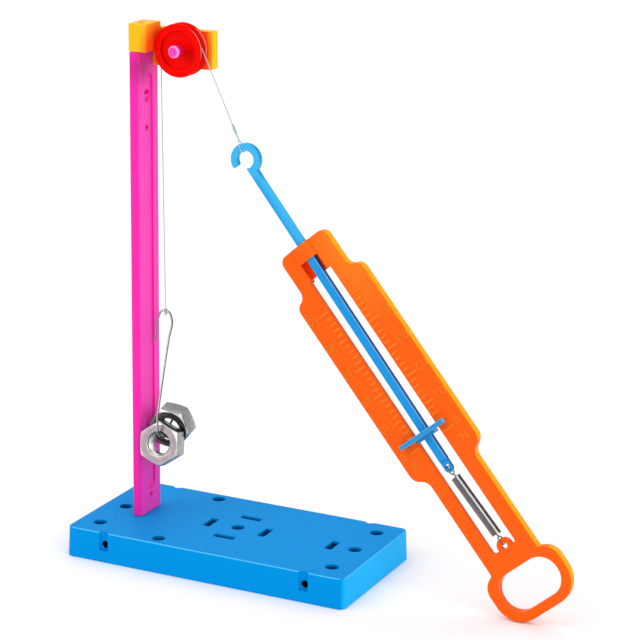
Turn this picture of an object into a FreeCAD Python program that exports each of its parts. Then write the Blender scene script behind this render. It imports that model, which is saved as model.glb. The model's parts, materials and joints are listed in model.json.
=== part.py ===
import FreeCAD, Part
import os
from math import acos, atan, cos, degrees, pi, radians, sin, sqrt, tan

import Sketcher
from FreeCAD import Placement, Rotation, Vector

# Pulley demonstrator: a post on a base plate carries a grooved pulley. A string over the pulley
# joins a wire hook with two hexagon nuts to a spring scale that leans on the table.
# Millimetres, +Z up, X along the base, Y away from the front. Origin: centre of the base underside.

# ---------------------------------------------------------------- driving sizes
SIZES = [
    # base plate
    ("BaseLength", 150.0), ("BaseWidth", 75.0), ("BaseHeight", 15.0), ("BaseDraft", 0.45),
    ("BaseCorner", 3.5), ("BaseEdgeRound", 0.8), ("BaseWall", 2.4), ("BaseDeck", 2.6), ("RibWidth", 1.4),
    ("PegHoleRadius", 3.3), ("PegBossWall", 2.0), ("CornerHoleX", 63.0), ("CornerHoleY", 25.0),
    ("SideHoleX", 27.0), ("SideHoleY", 30.5), ("SlotLength", 11.0), ("SlotWidth", 4.0), ("SlotWall", 1.8),
    ("OuterSlotX", 51.0), ("InnerSlotX", 15.0), ("CrossSlotY", 14.0),
    ("NotchX", 54.0), ("NotchRadius", 2.5), ("NotchFloor", 5.5), ("NotchHoleRadius", 1.9),
    ("NotchHoleHeight", 8.3), ("NotchHoleDepth", 4.4), ("NotchBacking", 1.6),
    # upright post
    ("PostThickness", 5.0), ("PostWidth", 20.0), ("PostHeight", 231.0), ("PostEdgeRound", 1.6),
    ("PostCrownRound", 1.1), ("PostFootRound", 0.7), ("PanelWidth", 8.0), ("PanelDepth", 1.0),
    ("PanelFootGap", 12.0),
    ("PanelHeadGap", 11.5), ("UpperHoleRadius", 3.0), ("UpperHoleDrop", 22.3), ("CrossBarWidth", 1.2),
    ("MiddleHoleRadius", 1.5), ("MiddleHoleDrop", 37.7), ("LowerHoleRadius", 1.5), ("LowerHoleRise", 8.9),
    ("TenonLength", 9.0), ("TenonFit", 0.1), ("HeadPegRadius", 1.5), ("HeadPegShiftX", 1.0),
    ("HeadPegShiftY", 3.7), ("HeadPegShort", 0.3), ("HeadPegFit", 0.06),
    # head bracket
    ("BlockOverhang", 0.1), ("BlockLength", 9.4), ("BlockBack", 4.4), ("BlockHeight", 13.0),
    ("ArmGap", 0.2), ("ArmReach", 14.6), ("ArmThickness", 6.0), ("ArmHeight", 18.0), ("BracketRound", 0.9),
    # pulley and its axle peg
    ("AxleReach", 17.5), ("AxleRise", 1.0), ("AxleRadius", 2.9), ("AxleProud", 4.4), ("AxleChamfer", 0.7),
    ("AxleFit", 0.02), ("PulleyFit", 0.05), ("PulleyRadius", 12.65), ("GrooveDepth", 2.2),
    ("PulleyWidth", 6.5), ("PulleyPlaneY", 0.25), ("PulleyGap", 0.5), ("GrooveLand", 1.0),
    ("GrooveFloor", 0.88), ("RecessRadius", 9.2), ("RecessDepth", 1.7), ("RecessDraft", 0.5),
    ("HubRadius", 4.3), ("HubDraft", 0.2), ("HubRound", 0.3), ("RecessRound", 0.25), ("RimRound", 0.35),
    # string
    ("StringRadius", 0.275), ("StringSeat", 0.03), ("WeightLean", 0.83), ("WeightRun", 127.45),
    ("ScaleStringAngle", 27.0), ("ScaleStringForward", 3.0), ("ScaleRun", 59.1),
    ("KnotLength", 5.0), ("KnotRadius", 0.8), ("KnotAboveRing", 15.2), ("EyeRadius", 0.95),
    ("LoopFit", 0.08), ("LoopSlack", 0.12), ("LoopShoulder", 0.6), ("LoopInKnot", 1.2), ("LoopBend", 0.6),
    ("LoopTurn", 3.0),
    ("StringEndGap", 0.05),
    # wire hook
    ("WireRadius", 0.52), ("WireBend", 2.4),
    # hexagon nuts
    ("NutFlats", 19.0), ("NutThickness", 10.0), ("NutBore", 5.1), ("NutSink", 6.2), ("NutBevel", 30.0),
    ("NutBevelInset", 0.15),
    # spring scale: housing
    ("ScaleLean", 40.134), ("ScaleTilt", 2.5), ("HousingShift", 0.45), ("HousingThickness", 4.7),
    ("FaceThickness", 2.6), ("RimWidth", 1.6), ("HeadTop", 47.2), ("HeadHalf", 14.4), ("HeadCorner", 4.0),
    ("NeckTop", 65.0), ("NeckLength", 8.5), ("WideHalf", 20.6), ("WaistTop", 164.0), ("WaistLength", 10.0),
    ("TailHalf", 14.2), ("HandleTop", 223.0), ("HandleBottom", 249.6), ("HandleHalf", 20.9),
    ("HandleShoulder", 8.0), ("HandleCorner", 13.2), ("GripBar", 4.7), ("GripSide", 4.3), ("GripFlat", 0.4),
    ("GripWeb", 2.6),
    ("TailCorner", 1.5), ("HousingRound", 0.6), ("SlotHalf", 6.8), ("SlotShift", -0.35), ("SlotTop", 63.3),
    ("SlotHeadWall", 1.4), ("SlotBottom", 215.2), ("SlotCorner", 1.0), ("BridgeBottom", 55.2),
    ("BridgeHalf", 5.35), ("BridgeShift", -0.9), ("BridgeProud", 1.05),
    ("RodFit", 0.4), ("RodDepthFit", 0.25), ("LugRadius", 4.0), ("LugHole", 1.5), ("LugRise", 0.7),
    ("LugThickness", 1.6),
    # spring scale: graduations, 0 at ZeroMark, one step is two gram-force
    ("ZeroMark", 155.7), ("TickStep", 3.024), ("TickInner", 7.5), ("MajorTick", 5.7), ("MinorTick", 3.2),
    ("TickWidth", 0.8), ("TickProud", 0.35),
    # spring scale: rod, pointer, spring
    ("RodLean", 0.676), ("RodRise", 0.7), ("RodWidth", 4.4), ("RodThickness", 3.0), ("RingOuter", 7.7),
    ("RingInner", 4.2), ("RingRound", 0.5), ("StemNose", 0.7), ("TongueStart", 166.6), ("TongueEnd", 173.0),
    ("TongueThickness", 1.6), ("TongueHoleAt", 169.9), ("TongueHole", 1.1),
    ("PointerAt", 151.3), ("PointerBarWidth", 2.3), ("PointerHalf", 13.0), ("PointerShift", -0.2),
    ("PointerBarBottom", 2.3), ("PointerBarTop", 5.6), ("CollarHalf", 5.2), ("CollarLength", 3.8),
    ("CollarWall", 0.8), ("PointerFit", 0.02),
    ("CoilStart", 175.6), ("CoilEnd", 208.5), ("CoilRadius", 2.45), ("CoilWire", 0.35), ("SpringEye", 2.15),
    ("SpringBarInset", 0.1), ("SpringLegRadius", 0.3), ("LowerEyeCentre", 211.5), ("UpperEyeCentre", 172.2),
]
# Graduations from zero to full scale, and how many make one long one.
GRADUATIONS = 25
TICKS_PER_MAJOR = 5

doc = FreeCAD.newDocument("PulleyDemonstrator")
sheet = doc.addObject("Spreadsheet::Sheet", "Sizes")
for row, (alias, number) in enumerate(SIZES, start=1):
    sheet.set(f"A{row}", alias)
    sheet.set(f"B{row}", str(number))
    sheet.setAlias(f"B{row}", alias)
doc.recompute()

NODES = []


# ---------------------------------------------------------------- helpers
def value(formula):
    """Number that a formula on the sheet gives; a bare alias is short for Sizes.alias."""
    return float(sheet.evalExpression(full(formula)))


def full(formula):
    """Write Sizes. before every alias of a formula, so that formulas stay short."""
    words = []
    for word in str(formula).replace("(", " ( ").replace(")", " ) ").split():
        words.append("Sizes." + word if word[0].isupper() else word)
    return " ".join(words)


def new_body(name, x="0", y="0", z="0", rotation=None):
    """A body that is one node, placed at three formulas."""
    body = doc.addObject("PartDesign::Body", name)
    place(body, x, y, z, rotation)
    NODES.append(body)
    return body


def place(thing, x="0", y="0", z="0", rotation=None):
    base = Vector(value(x), value(y), value(z))
    thing.Placement = Placement(base, rotation or Rotation())
    for axis, formula in zip("xyz", (x, y, z)):
        if formula != "0":
            thing.setExpression(f"Placement.Base.{axis}", full(formula))


def plane_of(body, role):
    return next(item for item in body.Origin.OriginFeatures if item.Role == role)


def new_sketch(body, name, role="XY_Plane", lift="0"):
    """Sketch on an origin plane of its own body, moved along the plane's normal by a formula."""
    sketch = body.newObject("Sketcher::SketchObject", f"{body.Name}_{name}")
    sketch.AttachmentSupport = [(plane_of(body, role), "")]
    sketch.MapMode = "FlatFace"
    if lift != "0":
        sketch.setExpression("AttachmentOffset.Base.z", full(lift))
    return sketch


def constrain(sketch, kind, *where, formula):
    """Add a dimension and tie it to its formula."""
    index = sketch.addConstraint(Sketcher.Constraint(kind, *where, value(formula)))
    sketch.setExpression(f"Constraints[{index}]", full(formula))


def pin(sketch, curve, point, x, y):
    """Tie a point of a curve to two formulas measured from the sketch origin."""
    constrain(sketch, "DistanceX", -1, 1, curve, point, formula=x)
    constrain(sketch, "DistanceY", -1, 1, curve, point, formula=y)


def draw_rectangle(sketch, left, right, low, high):
    x0, x1, y0, y1 = (value(item) for item in (left, right, low, high))
    corners = [Vector(x0, y0), Vector(x1, y0), Vector(x1, y1), Vector(x0, y1)]
    sides = [sketch.addGeometry(Part.LineSegment(corners[i], corners[(i + 1) % 4])) for i in range(4)]
    for i in range(4):
        sketch.addConstraint(Sketcher.Constraint("Coincident", sides[i], 2, sides[(i + 1) % 4], 1))
        sketch.addConstraint(Sketcher.Constraint("Vertical" if i % 2 else "Horizontal", sides[i]))
    pin(sketch, sides[0], 1, left, low)
    pin(sketch, sides[2], 1, right, high)


def draw_circle(sketch, x, y, radius):
    centre = Vector(value(x), value(y))
    circle = sketch.addGeometry(Part.Circle(centre, Vector(0, 0, 1), value(radius)))
    pin(sketch, circle, 3, x, y)
    constrain(sketch, "Radius", circle, formula=radius)


def draw_path(sketch, curves):
    """Draw a closed run of lines and arcs whose points are worked out from the sheet, and block it."""
    for curve in curves:
        index = sketch.addGeometry(curve)
        sketch.addConstraint(Sketcher.Constraint("Block", index))


def rounded(points):
    """Closed outline through corners (x, y, radius), each corner replaced by a tangent arc."""
    count = len(points)
    ends = []
    curves = []
    for i, (x, y, radius) in enumerate(points):
        here = Vector(x, y)
        back = (Vector(*points[i - 1][:2]) - here).normalize()
        ahead = (Vector(*points[(i + 1) % count][:2]) - here).normalize()
        if radius == 0:
            ends.append((here, here, None))
            continue
        half = acos(max(-1, min(1, back.dot(ahead)))) / 2
        cut = radius / tan(half)
        middle = here + (back + ahead).normalize() * (radius / sin(half) - radius)
        ends.append((here + back * cut, here + ahead * cut, middle))
    for i in range(count):
        arrive, leave, middle = ends[i]
        if middle is not None:
            curves.append(Part.Arc(arrive, middle, leave))
        following = ends[(i + 1) % count][0]
        if (following - leave).Length > 1e-6:
            curves.append(Part.LineSegment(leave, following))
    return curves


def pad(body, name, sketch, length, down=False, both=False, taper=None):
    feature = body.newObject("PartDesign::Pad", f"{body.Name}_{name}")
    feature.Profile = sketch
    feature.setExpression("Length", full(length))
    feature.Reversed = down
    feature.Midplane = both
    if taper is not None:
        feature.TaperAngle = taper
    sketch.Visibility = False
    return feature


def pocket(body, name, sketch, depth=None, up=False):
    """Cut a sketch to a depth, away from its normal, or along it with up; no depth cuts through."""
    feature = body.newObject("PartDesign::Pocket", f"{body.Name}_{name}")
    feature.Profile = sketch
    if depth is None:
        feature.Type = "ThroughAll"
        feature.Midplane = True
    else:
        feature.setExpression("Length", full(depth))
        feature.Reversed = up
    sketch.Visibility = False
    return feature


def dress(body, kind, name, size, pick, formula_of="Radius"):
    """Fillet or chamfer of the tip's edges that pick accepts."""
    doc.recompute()
    base = body.Tip
    names = [f"Edge{i}" for i, edge in enumerate(base.Shape.Edges, start=1) if pick(edge)]
    if not names:
        raise RuntimeError(f"no edge for {name}")
    feature = body.newObject(f"PartDesign::{kind}", f"{body.Name}_{name}")
    feature.Base = (base, names)
    feature.setExpression(formula_of, full(size))
    doc.recompute()
    if "Invalid" in feature.State:
        raise RuntimeError(f"{feature.Name} failed on {len(names)} edges")
    return feature


def lies_at(edge, axis, level, slack=1e-3):
    """True where an edge lies wholly in the plane axis = level."""
    box = edge.BoundBox
    low, high = getattr(box, axis + "Min"), getattr(box, axis + "Max")
    return abs(low - level) < slack and abs(high - level) < slack


def signs():
    return (("", ""), ("-", ""), ("-", "-"), ("", "-"))


def cylinder(name, radius, height, placement):
    solid = doc.addObject("Part::Cylinder", name)
    solid.setExpression("Radius", full(radius))
    solid.setExpression("Height", full(height))
    solid.Placement = placement
    return solid


# ---------------------------------------------------------------- base plate
def make_base():
    body = new_body("base_plate")
    taper = -degrees(atan(value("BaseDraft") / value("BaseHeight")))
    outline = new_sketch(body, "outline")
    draw_rectangle(outline, "- BaseLength / 2", "BaseLength / 2", "- BaseWidth / 2", "BaseWidth / 2")
    pad(body, "block", outline, "BaseHeight", taper=taper)
    dress(body, "Fillet", "corners", "BaseCorner", lambda e: e.BoundBox.ZLength > value("BaseHeight") - 0.1)
    dress(body, "Fillet", "top_edge", "BaseEdgeRound", lambda e: lies_at(e, "Z", value("BaseHeight")))
    cavity = new_sketch(body, "cavity")
    inner_x = "( BaseLength / 2 - BaseWall )"
    inner_y = "( BaseWidth / 2 - BaseWall )"
    draw_rectangle(cavity, f"- {inner_x}", inner_x, f"- {inner_y}", inner_y)
    pocket(body, "hollow", cavity, "BaseHeight - BaseDeck", up=True)
    add_base_ribs(body, inner_x, inner_y)
    for name, x, y, half_x, half_y in base_slots():
        sleeve = new_sketch(body, f"sleeve_{name}")
        draw_rectangle(sleeve, f"{x} - {half_x} - SlotWall", f"{x} + {half_x} + SlotWall",
                       f"{y} - {half_y} - SlotWall", f"{y} + {half_y} + SlotWall")
        pad(body, f"sleeve_{name}_wall", sleeve, "BaseHeight - BaseDeck / 2")
    bosses = new_sketch(body, "bosses")
    holes = new_sketch(body, "holes")
    for x, y in base_holes():
        draw_circle(bosses, x, y, "PegHoleRadius + PegBossWall")
        draw_circle(holes, x, y, "PegHoleRadius")
    pad(body, "boss_walls", bosses, "BaseHeight - BaseDeck / 2")
    add_notch_backings(body)
    pocket(body, "peg_holes", holes)
    for name, x, y, half_x, half_y in base_slots():
        slot = new_sketch(body, f"slot_{name}")
        draw_rectangle(slot, f"{x} - {half_x}", f"{x} + {half_x}", f"{y} - {half_y}", f"{y} + {half_y}")
        pocket(body, f"slot_{name}_cut", slot)
    cut_notches(body)


def base_holes():
    corner = [(f"{a} CornerHoleX", f"{b} CornerHoleY") for a, b in signs()]
    middle = [("CornerHoleX", "0"), ("- CornerHoleX", "0"), ("0", "0")]
    side = [("- SideHoleX", "SideHoleY"), ("- SideHoleX", "- SideHoleY")]
    return corner + middle + side


def base_slots():
    """Name, centre and half sizes of each peg slot: four run across the base, two along it."""
    across = ("SlotWidth / 2", "SlotLength / 2")
    along = ("SlotLength / 2", "SlotWidth / 2")
    return [("post", "- OuterSlotX", "0", *across), ("far", "OuterSlotX", "0", *across),
            ("inner_post", "- InnerSlotX", "0", *across), ("inner_far", "InnerSlotX", "0", *across),
            ("front", "0", "- CrossSlotY", *along), ("back", "0", "CrossSlotY", *along)]


def add_base_ribs(body, inner_x, inner_y):
    """Stiffening ribs under the deck: one along the plate and three across it."""
    lines = {"long": [("y", "0")], "cross": [("x", "- SideHoleX"), ("x", "0"), ("x", "SideHoleX")]}
    for name, group in lines.items():
        sketch = new_sketch(body, f"ribs_{name}")
        for axis, at in group:
            if axis == "x":
                draw_rectangle(sketch, f"{at} - RibWidth / 2", f"{at} + RibWidth / 2",
                               f"- {inner_y}", inner_y)
            else:
                draw_rectangle(sketch, f"- {inner_x}", inner_x, f"{at} - RibWidth / 2",
                               f"{at} + RibWidth / 2")
        pad(body, f"ribs_{name}_walls", sketch, "BaseHeight - BaseDeck / 2")


def add_notch_backings(body):
    """Blocks behind the side notches, so that the notches stay closed."""
    sketch = new_sketch(body, "notch_backings")
    reach = "NotchHoleDepth + NotchBacking"
    half = "NotchRadius + NotchBacking"
    for x_sign, y_sign in signs():
        low, high = f"BaseWidth / 2 - {reach}", "BaseWidth / 2 - BaseWall / 2"
        if y_sign:
            low, high = f"- ( {high} )", f"- ( {low} )"
        draw_rectangle(sketch, f"{x_sign} NotchX - ( {half} )", f"{x_sign} NotchX + {half}", low, high)
    pad(body, "notch_backing_walls", sketch, "BaseHeight - BaseDeck / 2")


def cut_notches(body):
    channels = new_sketch(body, "channels", lift="NotchFloor")
    for x_sign, y_sign in signs():
        draw_circle(channels, f"{x_sign} NotchX", f"{y_sign} BaseWidth / 2", "NotchRadius")
    pocket(body, "channel_cuts", channels, "BaseHeight", up=True)
    for side, sign, up in (("front", "", False), ("back", "-", True)):
        holes = new_sketch(body, f"notch_holes_{side}", role="XZ_Plane", lift=f"{sign} BaseWidth / 2")
        for x_sign in ("", "-"):
            draw_circle(holes, f"{x_sign} NotchX", "NotchHoleHeight", "NotchHoleRadius")
        pocket(body, f"notch_hole_cuts_{side}", holes, "NotchHoleDepth", up=up)


# ---------------------------------------------------------------- upright post
def make_post():
    body = new_body("upright_post", x="- OuterSlotX", z="BaseHeight")
    half_x, half_y = "PostThickness / 2", "PostWidth / 2"
    outline = new_sketch(body, "outline")
    draw_rectangle(outline, f"- {half_x}", half_x, f"- {half_y}", half_y)
    pad(body, "bar", outline, "PostHeight")
    dress(body, "Fillet", "edges", "PostEdgeRound", lambda e: e.BoundBox.ZLength > value("PostHeight") - 0.1)
    dress(body, "Fillet", "foot", "PostFootRound", lambda e: lies_at(e, "Z", 0))
    dress(body, "Fillet", "crown", "PostCrownRound", lambda e: lies_at(e, "Z", value("PostHeight")))
    panel = new_sketch(body, "panel", role="YZ_Plane", lift=half_x)
    half, low, high = value("PanelWidth") / 2, value("PanelFootGap"), value("PostHeight - PanelHeadGap")
    corners = [(-half, low), (half, low), (half, high), (-half, high)]
    draw_path(panel, rounded([(y, z, half * 0.999) for y, z in corners]))
    pocket(body, "panel_cut", panel, "PanelDepth")
    holes = new_sketch(body, "holes", role="YZ_Plane")
    draw_circle(holes, "0", "PostHeight - UpperHoleDrop", "UpperHoleRadius")
    draw_circle(holes, "0", "PostHeight - MiddleHoleDrop", "MiddleHoleRadius")
    draw_circle(holes, "0", "LowerHoleRise", "LowerHoleRadius")
    pocket(body, "hole_cuts", holes)
    bar = new_sketch(body, "cross_bar", role="YZ_Plane")
    middle = "PostHeight - UpperHoleDrop"
    draw_rectangle(bar, "- UpperHoleRadius - 1", "UpperHoleRadius + 1",
                   f"{middle} - CrossBarWidth / 2", f"{middle} + CrossBarWidth / 2")
    pad(body, "cross_bar_wall", bar, "PostThickness - 2 * PanelDepth - 0.6", both=True)
    tenon = new_sketch(body, "tenon")
    draw_rectangle(tenon, "- SlotWidth / 2 + TenonFit", "SlotWidth / 2 - TenonFit",
                   "- SlotLength / 2 + TenonFit", "SlotLength / 2 - TenonFit")
    pad(body, "tenon_block", tenon, "TenonLength", down=True)
    peg = new_sketch(body, "head_peg", lift="PostHeight")
    draw_circle(peg, "HeadPegShiftX", "- HeadPegShiftY", "HeadPegRadius")
    pad(body, "head_peg_pin", peg, "BlockHeight - HeadPegShort")


# ---------------------------------------------------------------- head bracket
POST_TOP = "( BaseHeight + PostHeight )"
POST_FACE_X = "( - OuterSlotX + PostThickness / 2 )"
AXLE_X = f"( {POST_FACE_X} + AxleReach )"
AXLE_Z = f"( {POST_TOP} + AxleRise )"
PULLEY_BACK_Y = "( PulleyPlaneY + PulleyWidth / 2 )"
ARM_FRONT_Y = f"( {PULLEY_BACK_Y} + PulleyGap )"


def make_bracket():
    body = new_body("head_bracket")
    block = new_sketch(body, "block", lift=POST_TOP)
    left = "- OuterSlotX - PostThickness / 2 - BlockOverhang"
    draw_rectangle(block, left, f"{left} + BlockLength", "- PostWidth / 2", "BlockBack")
    pad(body, "block_solid", block, "BlockHeight")
    arm = new_sketch(body, "arm", role="XZ_Plane", lift=f"- {ARM_FRONT_Y}")
    draw_rectangle(arm, f"{POST_FACE_X} + ArmGap", f"{AXLE_X} + ArmReach",
                   f"{AXLE_Z} - ArmHeight / 2", f"{AXLE_Z} + ArmHeight / 2")
    pad(body, "arm_plate", arm, "ArmThickness", down=True)
    dress(body, "Fillet", "rounds", "BracketRound", is_bracket_outer_edge)
    bore = new_sketch(body, "axle_bore", role="XZ_Plane")
    draw_circle(bore, AXLE_X, AXLE_Z, "AxleRadius + AxleFit")
    pocket(body, "axle_bore_cut", bore)
    peg = new_sketch(body, "peg_bore")
    draw_circle(peg, "- OuterSlotX + HeadPegShiftX", "- HeadPegShiftY", "HeadPegRadius + HeadPegFit")
    pocket(body, "peg_bore_cut", peg)


def is_bracket_outer_edge(edge):
    """Long straight edges on the outside of the block and the arm, away from their joint."""
    box = edge.BoundBox
    seam_y = (box.YMin > value(ARM_FRONT_Y) - 0.01 and box.YMax < value("BlockBack") + 0.01)
    block_right = value("- OuterSlotX - PostThickness / 2 - BlockOverhang + BlockLength")
    touches_seam = box.XMax < block_right + 0.01 and box.YMax < value("BlockBack") + 0.01 and \
        box.YMax > value(ARM_FRONT_Y) - 0.01
    foot = lies_at(edge, "Z", value(POST_TOP))
    return not (seam_y or touches_seam or foot)


# ---------------------------------------------------------------- pulley
def make_axle():
    body = new_body("axle_peg", x=AXLE_X, y="PulleyPlaneY - PulleyWidth / 2 - AxleProud", z=AXLE_Z,
                    rotation=Rotation(Vector(1, 0, 0), -90))
    section = new_sketch(body, "section")
    draw_circle(section, "0", "0", "AxleRadius")
    pad(body, "pin", section, "AxleProud + PulleyWidth + PulleyGap + ArmThickness")
    dress(body, "Chamfer", "ends", "AxleChamfer", lambda e: isinstance(e.Curve, Part.Circle), "Size")


def make_pulley():
    """Turned wheel: V groove with a flat bottom, a dished face on each side and a hub."""
    body = new_body("pulley_wheel", x=AXLE_X, y="PulleyPlaneY", z=AXLE_Z)
    half = value("PulleyWidth") / 2
    rim, groove = value("PulleyRadius"), value("PulleyRadius - GrooveDepth")
    land, recess = value("GrooveLand"), value("RecessRadius")
    bore = value("AxleRadius + PulleyFit")
    seat = value("GrooveFloor") / 2
    dish, hub = value("RecessDepth"), value("HubRadius")
    hub_foot, dish_edge = value("HubRadius + HubDraft"), value("RecessRadius - RecessDraft")
    side = [(bore, half), (hub, half), (hub_foot, half - dish), (dish_edge, half - dish),
            (recess, half), (rim, half), (rim, half - land), (groove, seat)]
    points = side + [(x, -y) for x, y in reversed(side)]
    radii = {1: value("HubRound"), 4: value("RecessRound"), 5: value("RimRound"), 6: value("RimRound")}
    last = len(points) - 1
    corners = [(x, y, radii.get(min(i, last - i), 0)) for i, (x, y) in enumerate(points)]
    profile = new_sketch(body, "profile")
    draw_path(profile, rounded(corners))
    turned = body.newObject("PartDesign::Revolution", "pulley_wheel_turned")
    turned.Profile = profile
    turned.ReferenceAxis = (profile, ["V_Axis"])
    turned.Angle = 360


# ---------------------------------------------------------------- string
def string_geometry():
    """Where the string leaves the pulley, and its two directions."""
    centre = Vector(value(AXLE_X), value("PulleyPlaneY"), value(AXLE_Z))
    radius = value("PulleyRadius - GrooveDepth + StringRadius + StringSeat")
    lean = radians(value("WeightLean"))
    to_weight = Vector(sin(lean), 0, -cos(lean))
    off_weight = centre + Vector(-cos(lean), 0, -sin(lean)) * radius
    angle, forward = radians(value("ScaleStringAngle")), radians(value("ScaleStringForward"))
    to_scale = Vector(sin(angle) * cos(forward), -sin(forward), -cos(angle) * cos(forward))
    off_scale = centre + Vector(cos(angle), 0, sin(angle)) * radius
    return centre, radius, off_weight, to_weight, off_scale, to_scale


def aim(direction, about=Vector(0, 1, 0)):
    """Rotation that turns local +Z to a direction, keeping local Y near another."""
    return Rotation(Vector(), about, direction, "ZYX")


def make_string():
    centre, _, off_weight, to_weight, off_scale, to_scale = string_geometry()
    apex = off_weight + to_weight * value("WeightRun")
    to_eye = "WeightRun - 2 * EyeRadius + WireRadius + LoopFit - StringEndGap"
    run = cylinder("string_weight_run", "StringRadius", to_eye, Placement(off_weight, aim(to_weight)))
    NODES.append(run)
    wrap = doc.addObject("Part::Torus", "string_groove_wrap")
    wrap.setExpression("Radius1", full("PulleyRadius - GrooveDepth + StringRadius + StringSeat"))
    wrap.setExpression("Radius2", full("StringRadius"))
    wrap.setExpression("Angle3", full("180 - WeightLean - ScaleStringAngle"))
    start = Vector(cos(radians(value("ScaleStringAngle"))), 0, sin(radians(value("ScaleStringAngle"))))
    wrap.Placement = Placement(centre, Rotation(start, Vector(0, 0, 0), Vector(0, -1, 0), "ZXY"))
    NODES.append(wrap)
    knot_start = "ScaleRun - KnotAboveRing - KnotLength / 2"
    scale_run = cylinder("string_scale_run", "StringRadius", f"{knot_start} - StringEndGap",
                         Placement(off_scale, aim(to_scale)))
    NODES.append(scale_run)
    make_weight_eye(apex)
    make_scale_loop(off_scale + to_scale * value("ScaleRun"), to_scale)


def make_weight_eye(apex):
    """Eye tied round the wire hook: a ring of string with its knot below the wire."""
    ring = doc.addObject("Part::Torus", "weight_eye_ring")
    ring.setExpression("Radius1", full("EyeRadius"))
    ring.setExpression("Radius2", full("StringRadius"))
    lift = value("EyeRadius - StringRadius - WireRadius - LoopFit")
    ring.Placement = Placement(apex + Vector(0, 0, lift), Rotation(Vector(0, 1, 0), 90))
    knot = doc.addObject("Part::Sphere", "weight_eye_knot")
    knot.setExpression("Radius", full("KnotRadius"))
    drop = value("EyeRadius + KnotRadius") - lift
    knot.Placement = Placement(apex - Vector(0, 0, drop), Rotation())
    both = doc.addObject("Part::Fuse", "string_weight_knot")
    both.Base, both.Tool = ring, knot
    NODES.append(both)


def scale_axes():
    """Scale frame: down the scale, across it, and out of its face."""
    tilt, lean = radians(value("ScaleTilt")), radians(value("ScaleLean"))
    up = Vector(0, sin(tilt), cos(tilt))
    right = Vector(1, 0, 0)
    out = Vector(0, -cos(tilt), sin(tilt))
    down_scale = right * sin(lean) - up * cos(lean)
    return down_scale, out.cross(down_scale), out


def make_scale_loop(ring_centre, to_scale):
    """Doubled string round the ring of the rod, with the knot above it."""
    _, _, out = scale_axes()
    along = to_scale * -1
    side = (out - along * out.dot(along)).normalize()
    bar = value("RodThickness") / 2 + value("StringRadius + LoopFit + LoopSlack")
    inner = value("RingInner - StringRadius - LoopFit - LoopSlack")
    shoulder = value("RingOuter + LoopShoulder")
    in_knot = value("KnotAboveRing - KnotLength / 2 + LoopInKnot")
    tight, wide = value("LoopBend"), value("LoopTurn")
    corners = [(inner, -bar, tight), (shoulder, -bar, wide), (in_knot, 0, 0), (shoulder, bar, wide),
               (inner, bar, tight)]
    curves = rounded(corners)
    normal = along.cross(side)
    frame = Placement(ring_centre, Rotation(along, side, normal, "XYZ"))
    wire = Part.Wire([curve.toShape() for curve in curves])
    wire.Placement = frame
    first = wire.OrderedEdges[0]
    section = Part.Wire([Part.makeCircle(value("StringRadius"), wire.OrderedVertexes[0].Point,
                                         first.tangentAt(first.FirstParameter))])
    loop = wire.makePipeShell([section], True, False, 2)
    knot = Part.makeSphere(1.0)
    stretch = FreeCAD.Matrix()
    stretch.scale(value("KnotLength") / 2, value("KnotRadius"), value("KnotRadius"))
    knot = knot.transformGeometry(stretch)
    knot.Placement = Placement(frame.multVec(Vector(value("KnotAboveRing"), 0, 0)), frame.Rotation)
    node = doc.addObject("Part::Feature", "string_scale_loop")
    node.Shape = loop.fuse(knot)
    NODES.append(node)


# ---------------------------------------------------------------- wire hook and nuts
# Points that the hook's wire bends at, from the hook's top: hand-bent, so they are chosen one by one.
HOOK_POINTS = [(-6.3, 0.0, -16.6), (-4.6, 0.0, -5.3), (-2.6, 0.0, 0.0), (2.2, 0.0, 0.0),
               (3.9, 0.0, -5.4), (3.1, -2.6, -12.8), (3.9, -9.3, -28.3), (4.9, -17.2, -47.7),
               (5.1, -17.9, -54.8), (4.5, -14.5, -59.3), (3.7, -6.9, -61.8), (3.3, -1.4, -55.5),
               (2.2, 9.5, -53.8)]
# Placement of each nut: centre of its front face from the hook's top, then yaw, pitch and roll.
FRONT_NUT = ((4.9, -16.4, -62.2), (6.97, -14.23, -5.35))
REAR_NUT = ((3.4, -4.0, -58.8), (6.5, 7.7, -20.9))


def hook_top():
    _, _, off_weight, to_weight, _, _ = string_geometry()
    return off_weight + to_weight * value("WeightRun")


def tube(points, radius, bend):
    """Round wire through points, with a tangent arc at each inner point."""
    edges = []
    here = points[0]
    for i in range(1, len(points) - 1):
        back = points[i - 1] - points[i]
        ahead = points[i + 1] - points[i]
        half = back.getAngle(ahead) / 2
        reach = 0.45 * min(back.Length, ahead.Length)
        arc_radius = min(reach * tan(half), bend)
        cut = arc_radius / tan(half)
        b, a = back.normalize(), ahead.normalize()
        start, end = points[i] + b * cut, points[i] + a * cut
        middle = points[i] + (b + a).normalize() * (arc_radius / sin(half) - arc_radius)
        edges += [Part.LineSegment(here, start).toShape(), Part.Arc(start, middle, end).toShape()]
        here = end
    edges.append(Part.LineSegment(here, points[-1]).toShape())
    path = Part.Wire(edges)
    first = edges[0]
    section = Part.Wire([Part.makeCircle(radius, points[0], first.tangentAt(first.FirstParameter))])
    return path.makePipeShell([section], True, False, 2), path.Length


def make_hook():
    top = hook_top()
    radius = value("WireRadius")
    solid, length = tube([top + Vector(*p) for p in HOOK_POINTS], radius, 4 * value("WireBend"))
    print(f"hook: wire {length:.1f} long, volume ratio {solid.Volume / (length * pi * radius ** 2):.4f}")
    node = doc.addObject("Part::Feature", "weight_wire_hook")
    node.Shape = solid
    NODES.append(node)


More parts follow.
